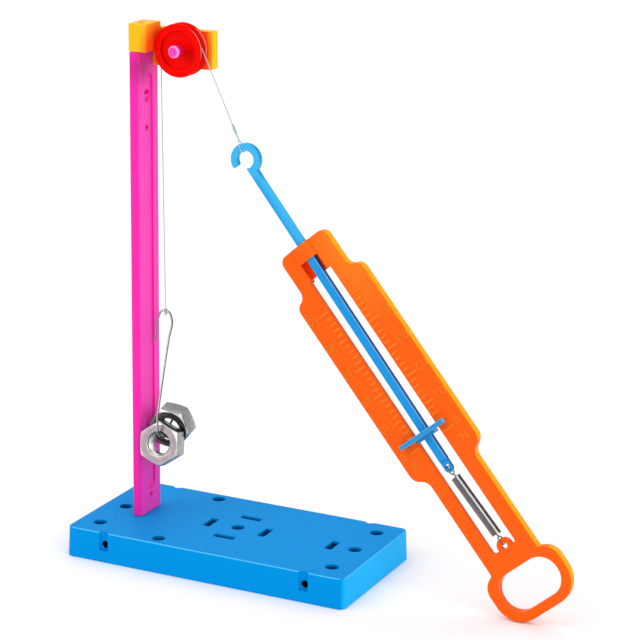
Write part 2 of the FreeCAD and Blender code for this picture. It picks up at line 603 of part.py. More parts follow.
def make_nut(name, setting):
    (x, y, z), (yaw, pitch, roll) = setting
    turn = Rotation(Vector(0, 0, 1), yaw) * Rotation(Vector(1, 0, 0), pitch) * Rotation(Vector(0, 1, 0), roll)
    turn = turn * Rotation(Vector(1, 0, 0), -90)
    body = new_body(name)
    body.Placement = Placement(hook_top() + Vector(x, y, z), turn)
    outline = new_sketch(body, "hexagon")
    corner = value("NutFlats") / 2 / cos(pi / 6)
    points = [(corner * sin(radians(60 * k)), corner * cos(radians(60 * k)), 0) for k in range(6)]
    draw_path(outline, rounded(points))
    pad(body, "prism", outline, "NutThickness")
    bore = new_sketch(body, "bore")
    draw_circle(bore, "0", "0", "NutBore")
    pocket(body, "bore_cut", bore)
    sink = "NutSink - NutBore"
    dress(body, "Chamfer", "countersinks", sink,
          lambda e: isinstance(e.Curve, Part.Circle) and abs(e.Curve.Radius - value("NutBore")) < 0.01
          and e.BoundBox.ZLength < 0.01, "Size")
    # the turned bevel that rounds the hexagon's corners on both faces
    bevel = value("NutFlats / 2 - NutBevelInset")
    fall = tan(radians(value("NutBevel")))
    reach = corner - bevel + 1
    thick = value("NutThickness")
    for side, base, step in (("front", 0, 1), ("rear", thick, -1)):
        profile = new_sketch(body, f"bevel_{side}", role="XZ_Plane")
        triangle = [(bevel, base, 0), (bevel + reach, base, 0),
                    (bevel + reach, base + step * reach * fall, 0)]
        draw_path(profile, rounded(triangle))
        groove = body.newObject("PartDesign::Groove", f"{name}_bevel_cut_{side}")
        groove.Profile = profile
        groove.ReferenceAxis = (profile, ["V_Axis"])
        groove.Angle = 360


# ---------------------------------------------------------------- spring scale
def ring_centre():
    _, _, _, _, off_scale, to_scale = string_geometry()
    return off_scale + to_scale * value("ScaleRun")


def rod_placement():
    """Rod frame: origin in the ring, X down the rod, Z out of the scale's face."""
    down, across, out = scale_axes()
    lean = Rotation(out, -value("RodLean"))
    return Placement(ring_centre(), Rotation(lean.multVec(down), lean.multVec(across), out, "XYZ"))


def housing_placement():
    down, across, out = scale_axes()
    origin = ring_centre() - out * value("RodRise") - across * value("HousingShift")
    return Placement(origin, Rotation(down, across, out, "XYZ"))


def s_curve(x0, y0, length, step):
    """Two tangent arcs that shift an edge sideways by step over a length."""
    turn = 2 * atan(abs(step) / length)
    radius = length / 2 / sin(turn)
    sign = 1 if step > 0 else -1
    middle = Vector(x0 + length / 2, y0 + step / 2)
    first = Vector(x0 + radius * sin(turn / 2), y0 + sign * radius * (1 - cos(turn / 2)))
    second = Vector(x0 + length - radius * sin(turn / 2), y0 + step - sign * radius * (1 - cos(turn / 2)))
    return [Part.Arc(Vector(x0, y0), first, middle), Part.Arc(middle, second, Vector(x0 + length, y0 + step))]


def mirrored(curves):
    """The same run of curves on the other side of the X axis, in reverse order."""
    other = []
    for curve in reversed(curves):
        if isinstance(curve, Part.LineSegment):
            a, b = curve.StartPoint, curve.EndPoint
            other.append(Part.LineSegment(Vector(b.x, -b.y), Vector(a.x, -a.y)))
        else:
            edge = curve.toShape()
            m = edge.valueAt((edge.FirstParameter + edge.LastParameter) / 2)
            a, b = edge.valueAt(edge.FirstParameter), edge.valueAt(edge.LastParameter)
            other.append(Part.Arc(Vector(b.x, -b.y), Vector(m.x, -m.y), Vector(a.x, -a.y)))
    return other


def housing_outline():
    """Outline of the housing's plate from its head to its tail, which runs on into the handle."""
    top, bottom = value("HeadTop"), value("HandleTop + GripWeb / 2")
    head, wide, tail = (value(name) for name in ("HeadHalf", "WideHalf", "TailHalf"))
    neck, neck_length = value("NeckTop"), value("NeckLength")
    waist, waist_length = value("WaistTop"), value("WaistLength")
    corner = value("HeadCorner")
    k = corner * (1 - cos(pi / 4))
    side = [Part.LineSegment(Vector(top, 0), Vector(top, head - corner)),
            Part.Arc(Vector(top, head - corner), Vector(top + k, head - k), Vector(top + corner, head)),
            Part.LineSegment(Vector(top + corner, head), Vector(neck, head))]
    side += s_curve(neck, head, neck_length, wide - head)
    side.append(Part.LineSegment(Vector(neck + neck_length, wide), Vector(waist, wide)))
    side += s_curve(waist, wide, waist_length, tail - wide)
    side.append(Part.LineSegment(Vector(waist + waist_length, tail), Vector(bottom, tail)))
    side.append(Part.LineSegment(Vector(bottom, tail), Vector(bottom, 0)))
    return side + mirrored(side)


def make_housing():
    body = new_body("scale_housing")
    body.Placement = housing_placement()
    half = "HousingThickness / 2"
    plate = new_sketch(body, "plate", lift=f"- {half}")
    draw_path(plate, housing_outline())
    pad(body, "plate_block", plate, "HousingThickness")
    handle = new_sketch(body, "handle", lift=f"- {half}")
    top, low, wide = value("HandleTop"), value("HandleBottom"), value("HandleHalf")
    shoulder, corner = value("HandleShoulder"), value("HandleCorner")
    draw_path(handle, rounded([(top, -wide, shoulder), (low, -wide, corner), (low, wide, corner),
                               (top, wide, shoulder)]))
    pad(body, "handle_block", handle, "HousingThickness")
    dress(body, "Fillet", "tail_corners", "TailCorner", is_tail_corner)
    dress(body, "Fillet", "rim_rounds", "HousingRound", is_housing_border)
    grip = new_sketch(body, "grip")
    opening_top, opening_low = top + value("GripWeb"), low - value("GripBar")
    opening_half = wide - value("GripSide")
    end = (opening_low - opening_top - value("GripFlat")) / 2
    draw_path(grip, rounded([(opening_top, -opening_half, end), (opening_low, -opening_half, end),
                             (opening_low, opening_half, end), (opening_top, opening_half, end)]))
    pocket(body, "grip_cut", grip)
    hollow = new_sketch(body, "hollow", lift=f"- {half}")
    draw_path(hollow, hollow_outline())
    pocket(body, "hollow_cut", hollow, "HousingThickness - FaceThickness", up=True)
    slot = new_sketch(body, "slot")
    a, b, round_slot = (value(n) for n in ("SlotTop", "SlotBottom", "SlotCorner"))
    left, right = value("SlotShift - SlotHalf"), value("SlotShift + SlotHalf")
    draw_path(slot, rounded([(a, left, round_slot), (b, left, round_slot),
                             (b, right, round_slot), (a, right, round_slot)]))
    pocket(body, "slot_cut", slot)
    add_bridge(body)
    add_lug(body)
    add_ticks(body)


def hollow_outline():
    """Inside of the rim on the back: follows the plate's outline from the slot's head down."""
    inset = value("RimWidth")
    head, wide, tail = (value(name) - inset for name in ("HeadHalf", "WideHalf", "TailHalf"))
    neck, neck_length = value("NeckTop"), value("NeckLength")
    start = value("SlotTop + SlotHeadWall")
    waist, length = value("WaistTop") - inset, value("WaistLength")
    end = value("HandleTop") - inset / 2
    side = [Part.LineSegment(Vector(start, 0), Vector(start, head)),
            Part.LineSegment(Vector(start, head), Vector(neck, head))]
    side += s_curve(neck, head, neck_length, wide - head)
    side.append(Part.LineSegment(Vector(neck + neck_length, wide), Vector(waist, wide)))
    side += s_curve(waist, wide, length, tail - wide)
    side += [Part.LineSegment(Vector(waist + length, tail), Vector(end, tail)),
             Part.LineSegment(Vector(end, tail), Vector(end, 0))]
    return side + mirrored(side)


def is_tail_corner(edge):
    """The two concave edges where the tail runs into the handle."""
    box = edge.BoundBox
    beside = abs(max(abs(box.YMin), abs(box.YMax)) - value("TailHalf")) < 0.01
    inside = value("HandleTop") < box.XMin < value("HandleTop + HandleShoulder")
    return box.ZLength > value("HousingThickness") - 0.01 and beside and inside


def is_housing_border(edge):
    """Edges that run round the housing's outside, front and back."""
    half = value("HousingThickness") / 2
    a = edge.valueAt(edge.FirstParameter)
    b = edge.valueAt(edge.LastParameter)
    return abs(abs(a.z) - half) < 0.01 and abs(a.z - b.z) < 0.01


def add_bridge(body):
    """Head of the scale: an open channel for the rod, roofed by a raised bridge."""
    front = "HousingThickness / 2"
    floor = "( RodRise - RodThickness / 2 - RodDepthFit )"
    channel = new_sketch(body, "channel", lift=floor)
    draw_rectangle(channel, "BridgeBottom", "SlotTop + 1", "BridgeShift - BridgeHalf",
                   "BridgeShift + BridgeHalf")
    pocket(body, "channel_cut", channel, "HousingThickness", up=True)
    bridge = new_sketch(body, "bridge")
    draw_rectangle(bridge, "HeadTop", "BridgeBottom", "BridgeShift - BridgeHalf", "BridgeShift + BridgeHalf")
    pad(body, "bridge_roof", bridge, front + " + BridgeProud")
    dress(body, "Fillet", "bridge_rounds", "BridgeProud / 3",
          lambda e: lies_at(e, "Z", value(front + " + BridgeProud")))
    tunnel = new_sketch(body, "tunnel", lift=floor)
    draw_rectangle(tunnel, "HeadTop - HousingThickness", "BridgeBottom + HousingThickness",
                   "- RodWidth / 2 - RodFit", "RodWidth / 2 + RodFit")
    pocket(body, "tunnel_cut", tunnel, "RodThickness + 2 * RodDepthFit", up=True)


def add_lug(body):
    """Eye at the foot of the slot that holds the spring's lower end."""
    lug = new_sketch(body, "lug", lift="RodRise")
    draw_circle(lug, "SlotBottom - LugRise", "0", "LugRadius")
    pad(body, "lug_disc", lug, "LugThickness", both=True)
    hole = new_sketch(body, "lug_hole")
    draw_circle(hole, "SlotBottom - LugRise", "0", "LugHole")
    pocket(body, "lug_hole_cut", hole)


def add_ticks(body):
    """Raised graduations on both sides of the slot, every fifth one long."""
    sketch = new_sketch(body, "ticks", lift="HousingThickness / 2")
    for index in range(GRADUATIONS + 1):
        length = "MajorTick" if index % TICKS_PER_MAJOR == 0 else "MinorTick"
        at = f"ZeroMark - {index} * TickStep"
        for low, high in (("TickInner", f"TickInner + {length}"), (f"- TickInner - {length}", "- TickInner")):
            x0, x1 = value(f"{at} - TickWidth / 2"), value(f"{at} + TickWidth / 2")
            y0, y1 = value(low), value(high)
            draw_path(sketch, rounded([(x0, y0, 0), (x1, y0, 0), (x1, y1, 0), (x0, y1, 0)]))
    pad(body, "tick_bars", sketch, "TickProud")


def make_rod():
    body = new_body("scale_rod")
    body.Placement = rod_placement()
    half = value("RodWidth") / 2
    outer, inner = value("RingOuter"), value("RingInner")
    end = value("TongueEnd")
    shoulder = sqrt(outer ** 2 - half ** 2)
    nose = sqrt(inner ** 2 - half ** 2)
    inner_mid = Vector(inner * cos(radians(120)), inner * sin(radians(120)))
    outer_mid = Vector(outer * cos(radians(150)), outer * sin(radians(150)))
    curves = [
        Part.LineSegment(Vector(shoulder, half), Vector(end - half, half)),
        Part.Arc(Vector(end - half, half), Vector(end, 0), Vector(end - half, -half)),
        Part.LineSegment(Vector(end - half, -half), Vector(nose, -half)),
        Part.Arc(Vector(nose, -half), inner_mid, Vector(0, -inner)),
        Part.LineSegment(Vector(0, -inner), Vector(0, -outer)),
        Part.Arc(Vector(0, -outer), outer_mid, Vector(shoulder, half)),
    ]
    profile = new_sketch(body, "profile")
    draw_path(profile, curves)
    pad(body, "blank", profile, "RodThickness", both=True)
    dress(body, "Fillet", "tip_corners", "StemNose", is_tip_corner)
    thick = "RodThickness / 2"
    dress(body, "Fillet", "ring_rounds", "RingRound",
          lambda e: lies_at(e, "Z", value(thick)) or lies_at(e, "Z", -value(thick)))
    for name, up in (("front", True), ("back", False)):
        lift = "TongueThickness / 2" if up else "- TongueThickness / 2"
        step = new_sketch(body, f"tongue_{name}", lift=lift)
        draw_rectangle(step, "TongueStart", "TongueEnd + 1", "- RodWidth", "RodWidth")
        pocket(body, f"tongue_cut_{name}", step, "RodThickness", up=up)
    hole = new_sketch(body, "tongue_hole")
    draw_circle(hole, "TongueHoleAt", "0", "TongueHole")
    pocket(body, "tongue_hole_cut", hole)


def is_tip_corner(edge):
    """The two edges across the rod's thickness at the hook's open end."""
    box = edge.BoundBox
    return box.ZLength > value("RodThickness") - 0.01 and abs(box.XMin) < 0.01 and abs(box.XMax) < 0.01


def make_pointer():
    """Cross bar that reads the graduations, on a collar snapped round the rod."""
    body = new_body("scale_pointer")
    body.Placement = rod_placement()
    shift = "PointerShift"
    under = "- RodThickness / 2 - CollarWall"
    collar = new_sketch(body, "collar", lift=under)
    top = "PointerAt - PointerBarWidth / 2"
    draw_rectangle(collar, top, f"{top} + CollarLength", f"{shift} - CollarHalf", f"{shift} + CollarHalf")
    pad(body, "collar_block", collar, "RodThickness / 2 + CollarWall + PointerBarBottom")
    bar = new_sketch(body, "bar", lift="PointerBarBottom")
    draw_rectangle(bar, "PointerAt - PointerBarWidth / 2", "PointerAt + PointerBarWidth / 2",
                   f"{shift} - PointerHalf", f"{shift} + PointerHalf")
    pad(body, "bar_block", bar, "PointerBarTop - PointerBarBottom")
    dress(body, "Fillet", "bar_rounds", "PointerBarWidth / 6",
          lambda e: lies_at(e, "Z", value("PointerBarTop")))
    window = new_sketch(body, "window", lift="- RodThickness / 2 - PointerFit")
    draw_rectangle(window, "PointerAt - CollarLength", "PointerAt + CollarLength",
                   "- RodWidth / 2 - PointerFit", "RodWidth / 2 + PointerFit")
    pocket(body, "window_cut", window, "RodThickness + 2 * PointerFit", up=True)


def make_spring():
    """Close-wound extension spring: its turns, a bar across each end and an eye at each end."""
    body = new_body("tension_spring")
    _, _, out = scale_axes()
    start = rod_placement().multVec(Vector(value("TongueEnd"), 0, 0))
    lug = housing_placement().multVec(Vector(value("SlotBottom - LugRise"), 0, value("RodRise")))
    line = (lug - start).normalize()
    offset = value("TongueEnd")
    side = out.cross(line).normalize()
    body.Placement = Placement(start - line * offset, Rotation(line, side, line.cross(side), "XYZ"))
    wire, outer = value("CoilWire"), value("CoilRadius")
    first, last = value("CoilStart"), value("CoilEnd")
    turns = int((last - first) / (2 * wire))
    pitch = (last - first) / turns
    valley, bore = outer - 0.5 * wire, outer - 2 * wire
    points = [(first, bore, 0), (first, valley, 0)]
    for turn in range(turns):
        x = first + turn * pitch
        points += [(x + pitch / 2, outer, 0), (x + pitch, valley, 0)]
    points.append((last, bore, 0))
    profile = new_sketch(body, "turns")
    draw_path(profile, rounded(points))
    coil = body.newObject("PartDesign::Revolution", "tension_spring_turns_solid")
    coil.Profile = profile
    coil.ReferenceAxis = (profile, ["H_Axis"])
    coil.Angle = 360
    inward = value("CoilWire + SpringBarInset")
    for name, edge, centre, sign in (("upper", first + inward, value("UpperEyeCentre"), 1),
                                     ("lower", last - inward, value("LowerEyeCentre"), -1)):
        add_spring_bar(body, name, edge)
        reach = centre + sign * value("SpringEye")
        add_spring_leg(body, name, min(edge, reach) - wire / 3, abs(edge - reach) + wire / 2)
        eye = body.newObject("PartDesign::AdditiveTorus", f"tension_spring_{name}_eye")
        eye.setExpression("Radius1", full("SpringEye"))
        eye.setExpression("Radius2", full("CoilWire"))
        eye.Placement = Placement(Vector(centre, 0, 0), Rotation(Vector(1, 0, 0), 90))


def add_spring_bar(body, name, at):
    bar = body.newObject("PartDesign::AdditiveCylinder", f"tension_spring_{name}_bar")
    bar.setExpression("Radius", full("CoilWire"))
    bar.setExpression("Height", full("2 * CoilRadius - 2 * CoilWire"))
    length = value("CoilRadius - CoilWire")
    bar.Placement = Placement(Vector(at, length, 0), Rotation(Vector(1, 0, 0), 90))


def add_spring_leg(body, name, start, length):
    leg = body.newObject("PartDesign::AdditiveCylinder", f"tension_spring_{name}_leg")
    leg.setExpression("Radius", full("SpringLegRadius"))
    leg.Height = length
    leg.Placement = Placement(Vector(start, 0, 0), Rotation(Vector(0, 1, 0), 90))


# ---------------------------------------------------------------- build, check, write
def check_document():
    doc.recompute()
    for item in doc.Objects:
        if "Invalid" in item.State or "Error" in item.State:
            raise RuntimeError(f"{item.Name} failed: {item.State}")
    for node in NODES:
        shape = node.Shape
        if shape.isNull() or not shape.isValid() or shape.Volume <= 0:
            raise RuntimeError(f"{node.Label} has no valid solid")
        box = shape.BoundBox
        print(f"{node.Label:22s} solids {len(shape.Solids)} volume {shape.Volume:9.1f} "
              f"x {box.XMin:.1f}..{box.XMax:.1f} y {box.YMin:.1f}..{box.YMax:.1f} "
              f"z {box.ZMin:.1f}..{box.ZMax:.1f}")


def write_nodes():
    os.makedirs("parts", exist_ok=True)
    for node in NODES:
        node.Shape.exportStep(f"parts/{node.Label}.step")


make_base()
make_post()
make_bracket()
make_axle()
make_pulley()
make_string()
make_hook()
make_nut("hex_nut_front", FRONT_NUT)
make_nut("hex_nut_rear", REAR_NUT)
make_housing()
make_rod()
make_pointer()
make_spring()
check_document()
write_nodes()
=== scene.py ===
"""Pulley demonstrator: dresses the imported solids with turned, wound and lettered pieces, and lights them."""
import json
from contextlib import contextmanager
from math import cos, pi, radians, sin, tan

import bmesh
import bpy
from bpy.props import FloatProperty, FloatVectorProperty, IntProperty, PointerProperty
from mathutils import Matrix, Vector


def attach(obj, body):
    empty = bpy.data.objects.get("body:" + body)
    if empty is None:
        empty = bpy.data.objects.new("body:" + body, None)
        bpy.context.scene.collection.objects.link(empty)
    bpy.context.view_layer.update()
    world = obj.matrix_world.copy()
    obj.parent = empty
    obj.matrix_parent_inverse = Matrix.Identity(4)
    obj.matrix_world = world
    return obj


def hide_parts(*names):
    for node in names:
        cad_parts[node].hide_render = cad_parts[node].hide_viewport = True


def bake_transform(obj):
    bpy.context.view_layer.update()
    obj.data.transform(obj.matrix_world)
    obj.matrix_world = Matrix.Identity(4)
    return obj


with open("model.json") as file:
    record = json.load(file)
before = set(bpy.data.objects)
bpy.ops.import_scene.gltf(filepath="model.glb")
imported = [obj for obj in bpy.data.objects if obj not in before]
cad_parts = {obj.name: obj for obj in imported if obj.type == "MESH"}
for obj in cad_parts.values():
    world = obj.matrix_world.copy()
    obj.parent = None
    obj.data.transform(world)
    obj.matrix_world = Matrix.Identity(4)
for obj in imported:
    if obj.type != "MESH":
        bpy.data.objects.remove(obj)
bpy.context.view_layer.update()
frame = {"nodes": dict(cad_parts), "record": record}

bl_info = {
    "name": "Pulley Demonstrator",
    "version": (1, 0, 0),
    "blender": (4, 5, 0),
    "location": "3D View > Sidebar > Pulley",
    "description": "Builds the wheel, nuts, string, spring and numbers of a classroom pulley demonstrator",
    "category": "Object",
}

MM = 0.001
RIGHT, BACK, UP = Vector((1, 0, 0)), Vector((0, 1, 0)), Vector((0, 0, 1))
# To the right as the camera sees it.
VIEW_RIGHT = Vector((0.9, 0.43, 0))
JOINTS = {joint["name"]: joint for joint in frame["record"]["behaviour"]["joints"]}


def joint_point(name):
    return Vector(JOINTS[name]["pos_m"])


def joint_axis(name):
    return Vector(JOINTS[name]["axis"]).normalized()


# How the housing lies on the rod: its lean (degrees), and how far it is behind and left of it (mm).
BODY_LEAN, BODY_BEHIND, BODY_LEFT = 0.676, 0.7, 0.45
# Places and directions that the pieces are built on, from the joints of the frame.
WHEEL_CENTRE = joint_point("pulley_spin")
WIRE_TOP = joint_point("hook_swing")
RING_CENTRE = joint_point("scale_swing")
TO_WEIGHT = joint_axis("weight_lower")
TO_SCALE = -joint_axis("scale_rise")
FACE_OUT = joint_axis("scale_swing")
ROD_DOWN = joint_axis("scale_stretch")
ROD_ACROSS = FACE_OUT.cross(ROD_DOWN).normalized()
BODY_DOWN = Matrix.Rotation(radians(BODY_LEAN), 3, FACE_OUT) @ ROD_DOWN
BODY_ACROSS = FACE_OUT.cross(BODY_DOWN).normalized()
BODY_ORIGIN = RING_CENTRE - FACE_OUT * BODY_BEHIND * MM - BODY_ACROSS * BODY_LEFT * MM
# How far the scale's face is in front of that origin (mm).
FACE_LEVEL = 2.35


def rod_point(down, across=0.0, out=0.0):
    """A point on the scale's rod, in millimetres from the centre of its ring."""
    return RING_CENTRE + (ROD_DOWN * down + ROD_ACROSS * across + FACE_OUT * out) * MM


def body_point(down, across=0.0, out=0.0):
    """A point on the scale's housing, in millimetres down it, across it and out of its face."""
    return BODY_ORIGIN + (BODY_DOWN * down + BODY_ACROSS * across + FACE_OUT * out) * MM


def frame_matrix(origin, x, y, z):
    turn = Matrix((x, y, z)).transposed().to_4x4()
    return Matrix.Translation(origin) @ turn


def along(origin, direction):
    """Places a piece that stands along Z so that it starts at origin and runs in direction."""
    return Matrix.Translation(origin) @ direction.to_track_quat("Z", "Y").to_matrix().to_4x4()


# ---------------------------------------------------------------- modelling by hand
def only(*objects):
    """Selects these objects alone, the first one active."""
    if bpy.context.object and bpy.context.object.mode != "OBJECT":
        bpy.ops.object.mode_set(mode="OBJECT")
    unselected()
    for piece in objects:
        piece.select_set(True)
    bpy.context.view_layer.objects.active = objects[0]


def unselected():
    bpy.ops.object.select_all(action="DESELECT")


def added(name):
    piece = bpy.context.object
    piece.name = name
    piece.data.name = name
    return piece


@contextmanager
def editing(piece):
    """Edit mode on one piece, with nothing selected at the start."""
    only(piece)
    bpy.ops.object.mode_set(mode="EDIT")
    bpy.ops.mesh.select_all(action="DESELECT")
    yield piece
    bpy.ops.object.mode_set(mode="OBJECT")


def pick(piece, kind, test):
    """Selects the vertices, edges or faces that pass a test, and nothing else."""
    bpy.ops.mesh.select_mode(type={"verts": "VERT", "edges": "EDGE", "faces": "FACE"}[kind])
    bpy.ops.mesh.select_all(action="DESELECT")
    mesh = bmesh.from_edit_mesh(piece.data)
    chosen = [part for part in getattr(mesh, kind) if test(part)]
    if not chosen:
        raise RuntimeError(f"{piece.name}: nothing to select among its {kind}")
    for part in chosen:
        part.select_set(True)
    mesh.select_flush_mode()
    bmesh.update_edit_mesh(piece.data)
    return chosen


def ring_edge(edge, radius, height):
    """An edge of the circle of that radius about Z at that height, to within the cuts' own error."""
    return all(abs(vertex.co.xy.length - radius) < 0.06 * MM and abs(vertex.co.z - height) < 0.01 * MM
               for vertex in edge.verts)


def cut_at(piece, height):
    bpy.ops.mesh.select_all(action="SELECT")
    bpy.ops.mesh.bisect(plane_co=(0, 0, height), plane_no=(0, 0, 1))


def modifier(piece, kind, **settings):
    """Adds a modifier, sets it and applies it."""
    only(piece)
    made = piece.modifiers.new(kind.title(), kind)
    for key, value in settings.items():
        setattr(made, key, value)
    bpy.ops.object.modifier_apply(modifier=made.name)


def outward():
    bpy.ops.mesh.select_all(action="SELECT")
    bpy.ops.mesh.normals_make_consistent(inside=False)


def smooth(piece, degrees=35):
    only(piece)
    bpy.ops.object.shade_smooth_by_angle(angle=radians(degrees))


def applied(piece):
    only(piece)
    bpy.ops.object.transform_apply(location=True, rotation=True, scale=True)
    return piece


def settle(piece, matrix):
    """Moves a finished piece to its place and leaves its object at the origin."""
    piece.matrix_world = matrix
    applied(piece)


def bar(name, sides, radius, depth, height):
    """A round or many-sided bar about Z, its middle at half that height."""
    unselected()
    bpy.ops.mesh.primitive_cylinder_add(vertices=sides, radius=radius, depth=depth,
                                        location=(0, 0, height / 2))
    return applied(added(name))


def circle(name, sides, radius, place, tilt=pi / 2):
    """A round outline to sweep about Z. It stands upright unless its tilt is 0."""
    unselected()
    bpy.ops.mesh.primitive_circle_add(vertices=sides, radius=radius, fill_type="NOTHING", location=place,
                                      rotation=(tilt, 0, 0))
    return applied(added(name))


def sweep(outline, rise, turns, steps):
    """Winds an outline up about Z, by rise in each turn, and closes its ends."""
    modifier(outline, "SCREW", axis="Z", angle=2 * pi, screw_offset=rise, iterations=turns, steps=steps,
             render_steps=steps, use_smooth_shade=True)
    with editing(outline):
        bpy.ops.mesh.select_all(action="SELECT")
        bpy.ops.mesh.fill_holes(sides=0)
        outward()


def taper(share):
    """Scales what is selected across Z."""
    bpy.ops.transform.resize(value=(share, share, 1))


def join(first, *others):
    only(first, *others)
    bpy.ops.object.join()
    return first


def remove(*objects):
    only(*objects)
    bpy.ops.object.delete()


def copied(piece, name):
    only(piece)
    bpy.ops.object.duplicate()
    return added(name)


def bezier_path(name, points, resolution, closed=False, radius=0.0):
    """A smooth curve through points, as a round wire if it has a radius."""
    unselected()
    bpy.ops.curve.primitive_bezier_curve_add(location=(0, 0, 0))
    path = added(name)
    spline = path.data.splines[0]
    spline.bezier_points.add(len(points) - len(spline.bezier_points))
    for knot, point in zip(spline.bezier_points, points):
        knot.co = point
        knot.handle_left_type = knot.handle_right_type = "AUTO"
    spline.use_cyclic_u = closed
    spline.resolution_u = resolution
    path.data.dimensions = "3D"
    path.data.resolution_u = resolution
    path.data.bevel_depth = radius
    path.data.bevel_resolution = 3
    path.data.use_fill_caps = True
    return path


def to_mesh(piece):
    only(piece)
    bpy.ops.object.convert(target="MESH")
    return bpy.context.object


def arc(centre, x, y, radius, start, end, count):
    """Points on an arc, its angles in degrees from x towards y."""
    steps = [radians(start + (end - start) * i / (count - 1)) for i in range(count)]
    return [centre + (x * cos(a) + y * sin(a)) * radius for a in steps]


# ---------------------------------------------------------------- sizes and colours
def swatch(label, what, colour):
    return FloatVectorProperty(name=label, description=what, default=colour, subtype="COLOR",
                               size=3, min=0, max=1)


def millimetres(label, what, size):
    """A length in Blender's unit, from its size in millimetres."""
    return FloatProperty(name=label, description=what, default=size * MM, unit="LENGTH", precision=6)


def heading(label, what, degrees):
    return FloatProperty(name=label, description=what, default=radians(degrees), subtype="ANGLE")


def strength(label, what, value):
    return FloatProperty(name=label, description=what, default=value, min=0, max=20)


class DemoColours(bpy.types.PropertyGroup):
    """Colours of the mouldings, the steel and the string, and the painted light and shade on them."""
    base: swatch("Base plate", "Blue of the base plate", (0.0, 0.265, 0.69))
    # Painted light: the plate's right end is paler where the side light falls on it.
    base_side: swatch("Base end", "Paler blue of the plate's right end", (0.01, 0.46, 0.95))
    # Painted shade: deep blue inside the plate's holes and under its top, where little light reaches.
    base_deep: swatch("Base holes", "Deep blue inside the plate's holes", (0.0, 0.07, 0.25))
    # Painted highlight along the plate's rounded top edges.
    base_edge: swatch("Base edges", "Pale blue on the plate's rounded edges", (0.09, 0.50, 0.97))
    post: swatch("Post", "Magenta of the post", (0.90, 0.025, 0.38))
    # Painted light: paler pink on the post's right side where the side light falls, and a painted highlight on
    # its rounded crown.
    post_side: swatch("Post side", "Paler pink of the post's right side and edges", (0.95, 0.070, 0.50))
    # Painted shadow of the head bracket on the post.
    post_shade: swatch("Post shade", "Dull pink under the head bracket", (0.30, 0.012, 0.11))
    # Painted shade and painted red reflection: dark red on the peg where it stands inside the wheel's hub.
    peg_deep: swatch("Peg in the wheel", "Dark red of the axle peg inside the hub", (0.72, 0.004, 0.05))
    # Painted highlight: a pale pink ring on the rounded edge of the peg's end.
    peg_edge: swatch("Peg edge", "Pale pink ring on the peg's end", (1.0, 0.30, 0.75))
    peg: swatch("Peg", "Pink of the axle peg", (0.90, 0.055, 0.44))
    bracket: swatch("Bracket", "Yellow of the head bracket", (0.98, 0.48, 0.012))
    # Painted reflected light: orange where the red wheel's light would fall on the yellow bracket.
    glow: swatch("Bracket by the wheel", "Orange that the wheel throws on the bracket", (0.96, 0.075, 0.008))
    # Painted light: brighter yellow on the arm's right end, where the side light falls.
    bracket_end: swatch("Bracket end", "Bright yellow of the arm's end", (1.0, 0.56, 0.0))
    wheel: swatch("Wheel", "Red of the pulley wheel", (0.84, 0.001, 0.0))
    # Painted highlight: a pale red line on the rounded rims.
    wheel_edge: swatch("Wheel edges", "Pale red line on the rims", (1.0, 0.22, 0.14))
    # Painted shade: dark red in the groove and on the dish's left wall, and the peg's painted shadow beside
    # it.
    wheel_deep: swatch("Wheel groove", "Dark red in the groove and beside the peg", (0.42, 0.0, 0.0))
    scale: swatch("Scale", "Orange of the spring scale", (0.90, 0.114, 0.006))
    # Painted light: the housing turns paler towards its right edge, where the side light is strongest.
    scale_light: swatch("Scale right", "Paler orange towards the right edge", (0.95, 0.185, 0.012))
    # Painted light: yellow orange on the housing's right edge, where the bright side light falls.
    scale_side: swatch("Scale edge", "Yellow orange of the scale's right edge", (0.98, 0.36, 0.0))
    # Painted highlight: olive orange on the tops of the raised marks and numbers.
    scale_raised: swatch("Scale marks", "Olive orange of the raised marks", (0.80, 0.215, 0.016))
    # Painted light: red orange in the shaded channel at the head, standing in for light that shines through
    # the plastic.
    scale_recess: swatch("Scale channel", "Red orange in the channel at the head", (1.0, 0.06, 0.0))
    rod: swatch("Rod", "Blue of the scale's rod and pointer", (0.012, 0.275, 0.66))
    # Painted light: paler blue on the ring, on the right of the rod's top and along the pointer's lower edge.
    rod_light: swatch("Rod at the ring", "Paler blue of the ring and the rod's top", (0.045, 0.42, 0.77))
    # Painted shade: deeper blue on the ring's right side and along the rod's left edges.
    ring_edge: swatch("Ring edge", "Deeper blue round the ring", (0.012, 0.27, 0.55))
    # Painted highlight: a pale blue line along the rod's right edge and the pointer's edges.
    rod_edge: swatch("Rod edge", "Pale blue line along the rod's right edge", (0.20, 0.40, 0.80))
    pointer: swatch("Pointer", "Blue of the pointer", (0.03, 0.26, 0.56))
    # Painted shade: deeper blue on the lower rod's right side.
    rod_side: swatch("Rod side", "Deeper blue of the rod's right side", (0.02, 0.085, 0.30))
    steel: swatch("Steel", "Grey of the nuts, the wire hook and the spring", (0.38, 0.385, 0.38))
    string: swatch("String", "Pale blue white of the string", (0.40, 0.52, 0.58))


class WheelSizes(bpy.types.PropertyGroup):
    """Sizes of the turned wheel."""
    radius: millimetres("Rim radius", "Outside radius of the wheel", 12.65)
    width: millimetres("Width", "Width over both rims", 6.5)
    groove: millimetres("Groove depth", "Depth of the string's groove", 2.2)
    recess: millimetres("Recess radius", "Radius of the dish in each face", 9.2)
    dish: millimetres("Recess depth", "Depth of the dish in each face", 1.7)
    hub: millimetres("Hub radius", "Radius of the hub round the axle", 4.3)
    bore: millimetres("Bore radius", "Radius of the hole for the axle peg", 2.95)


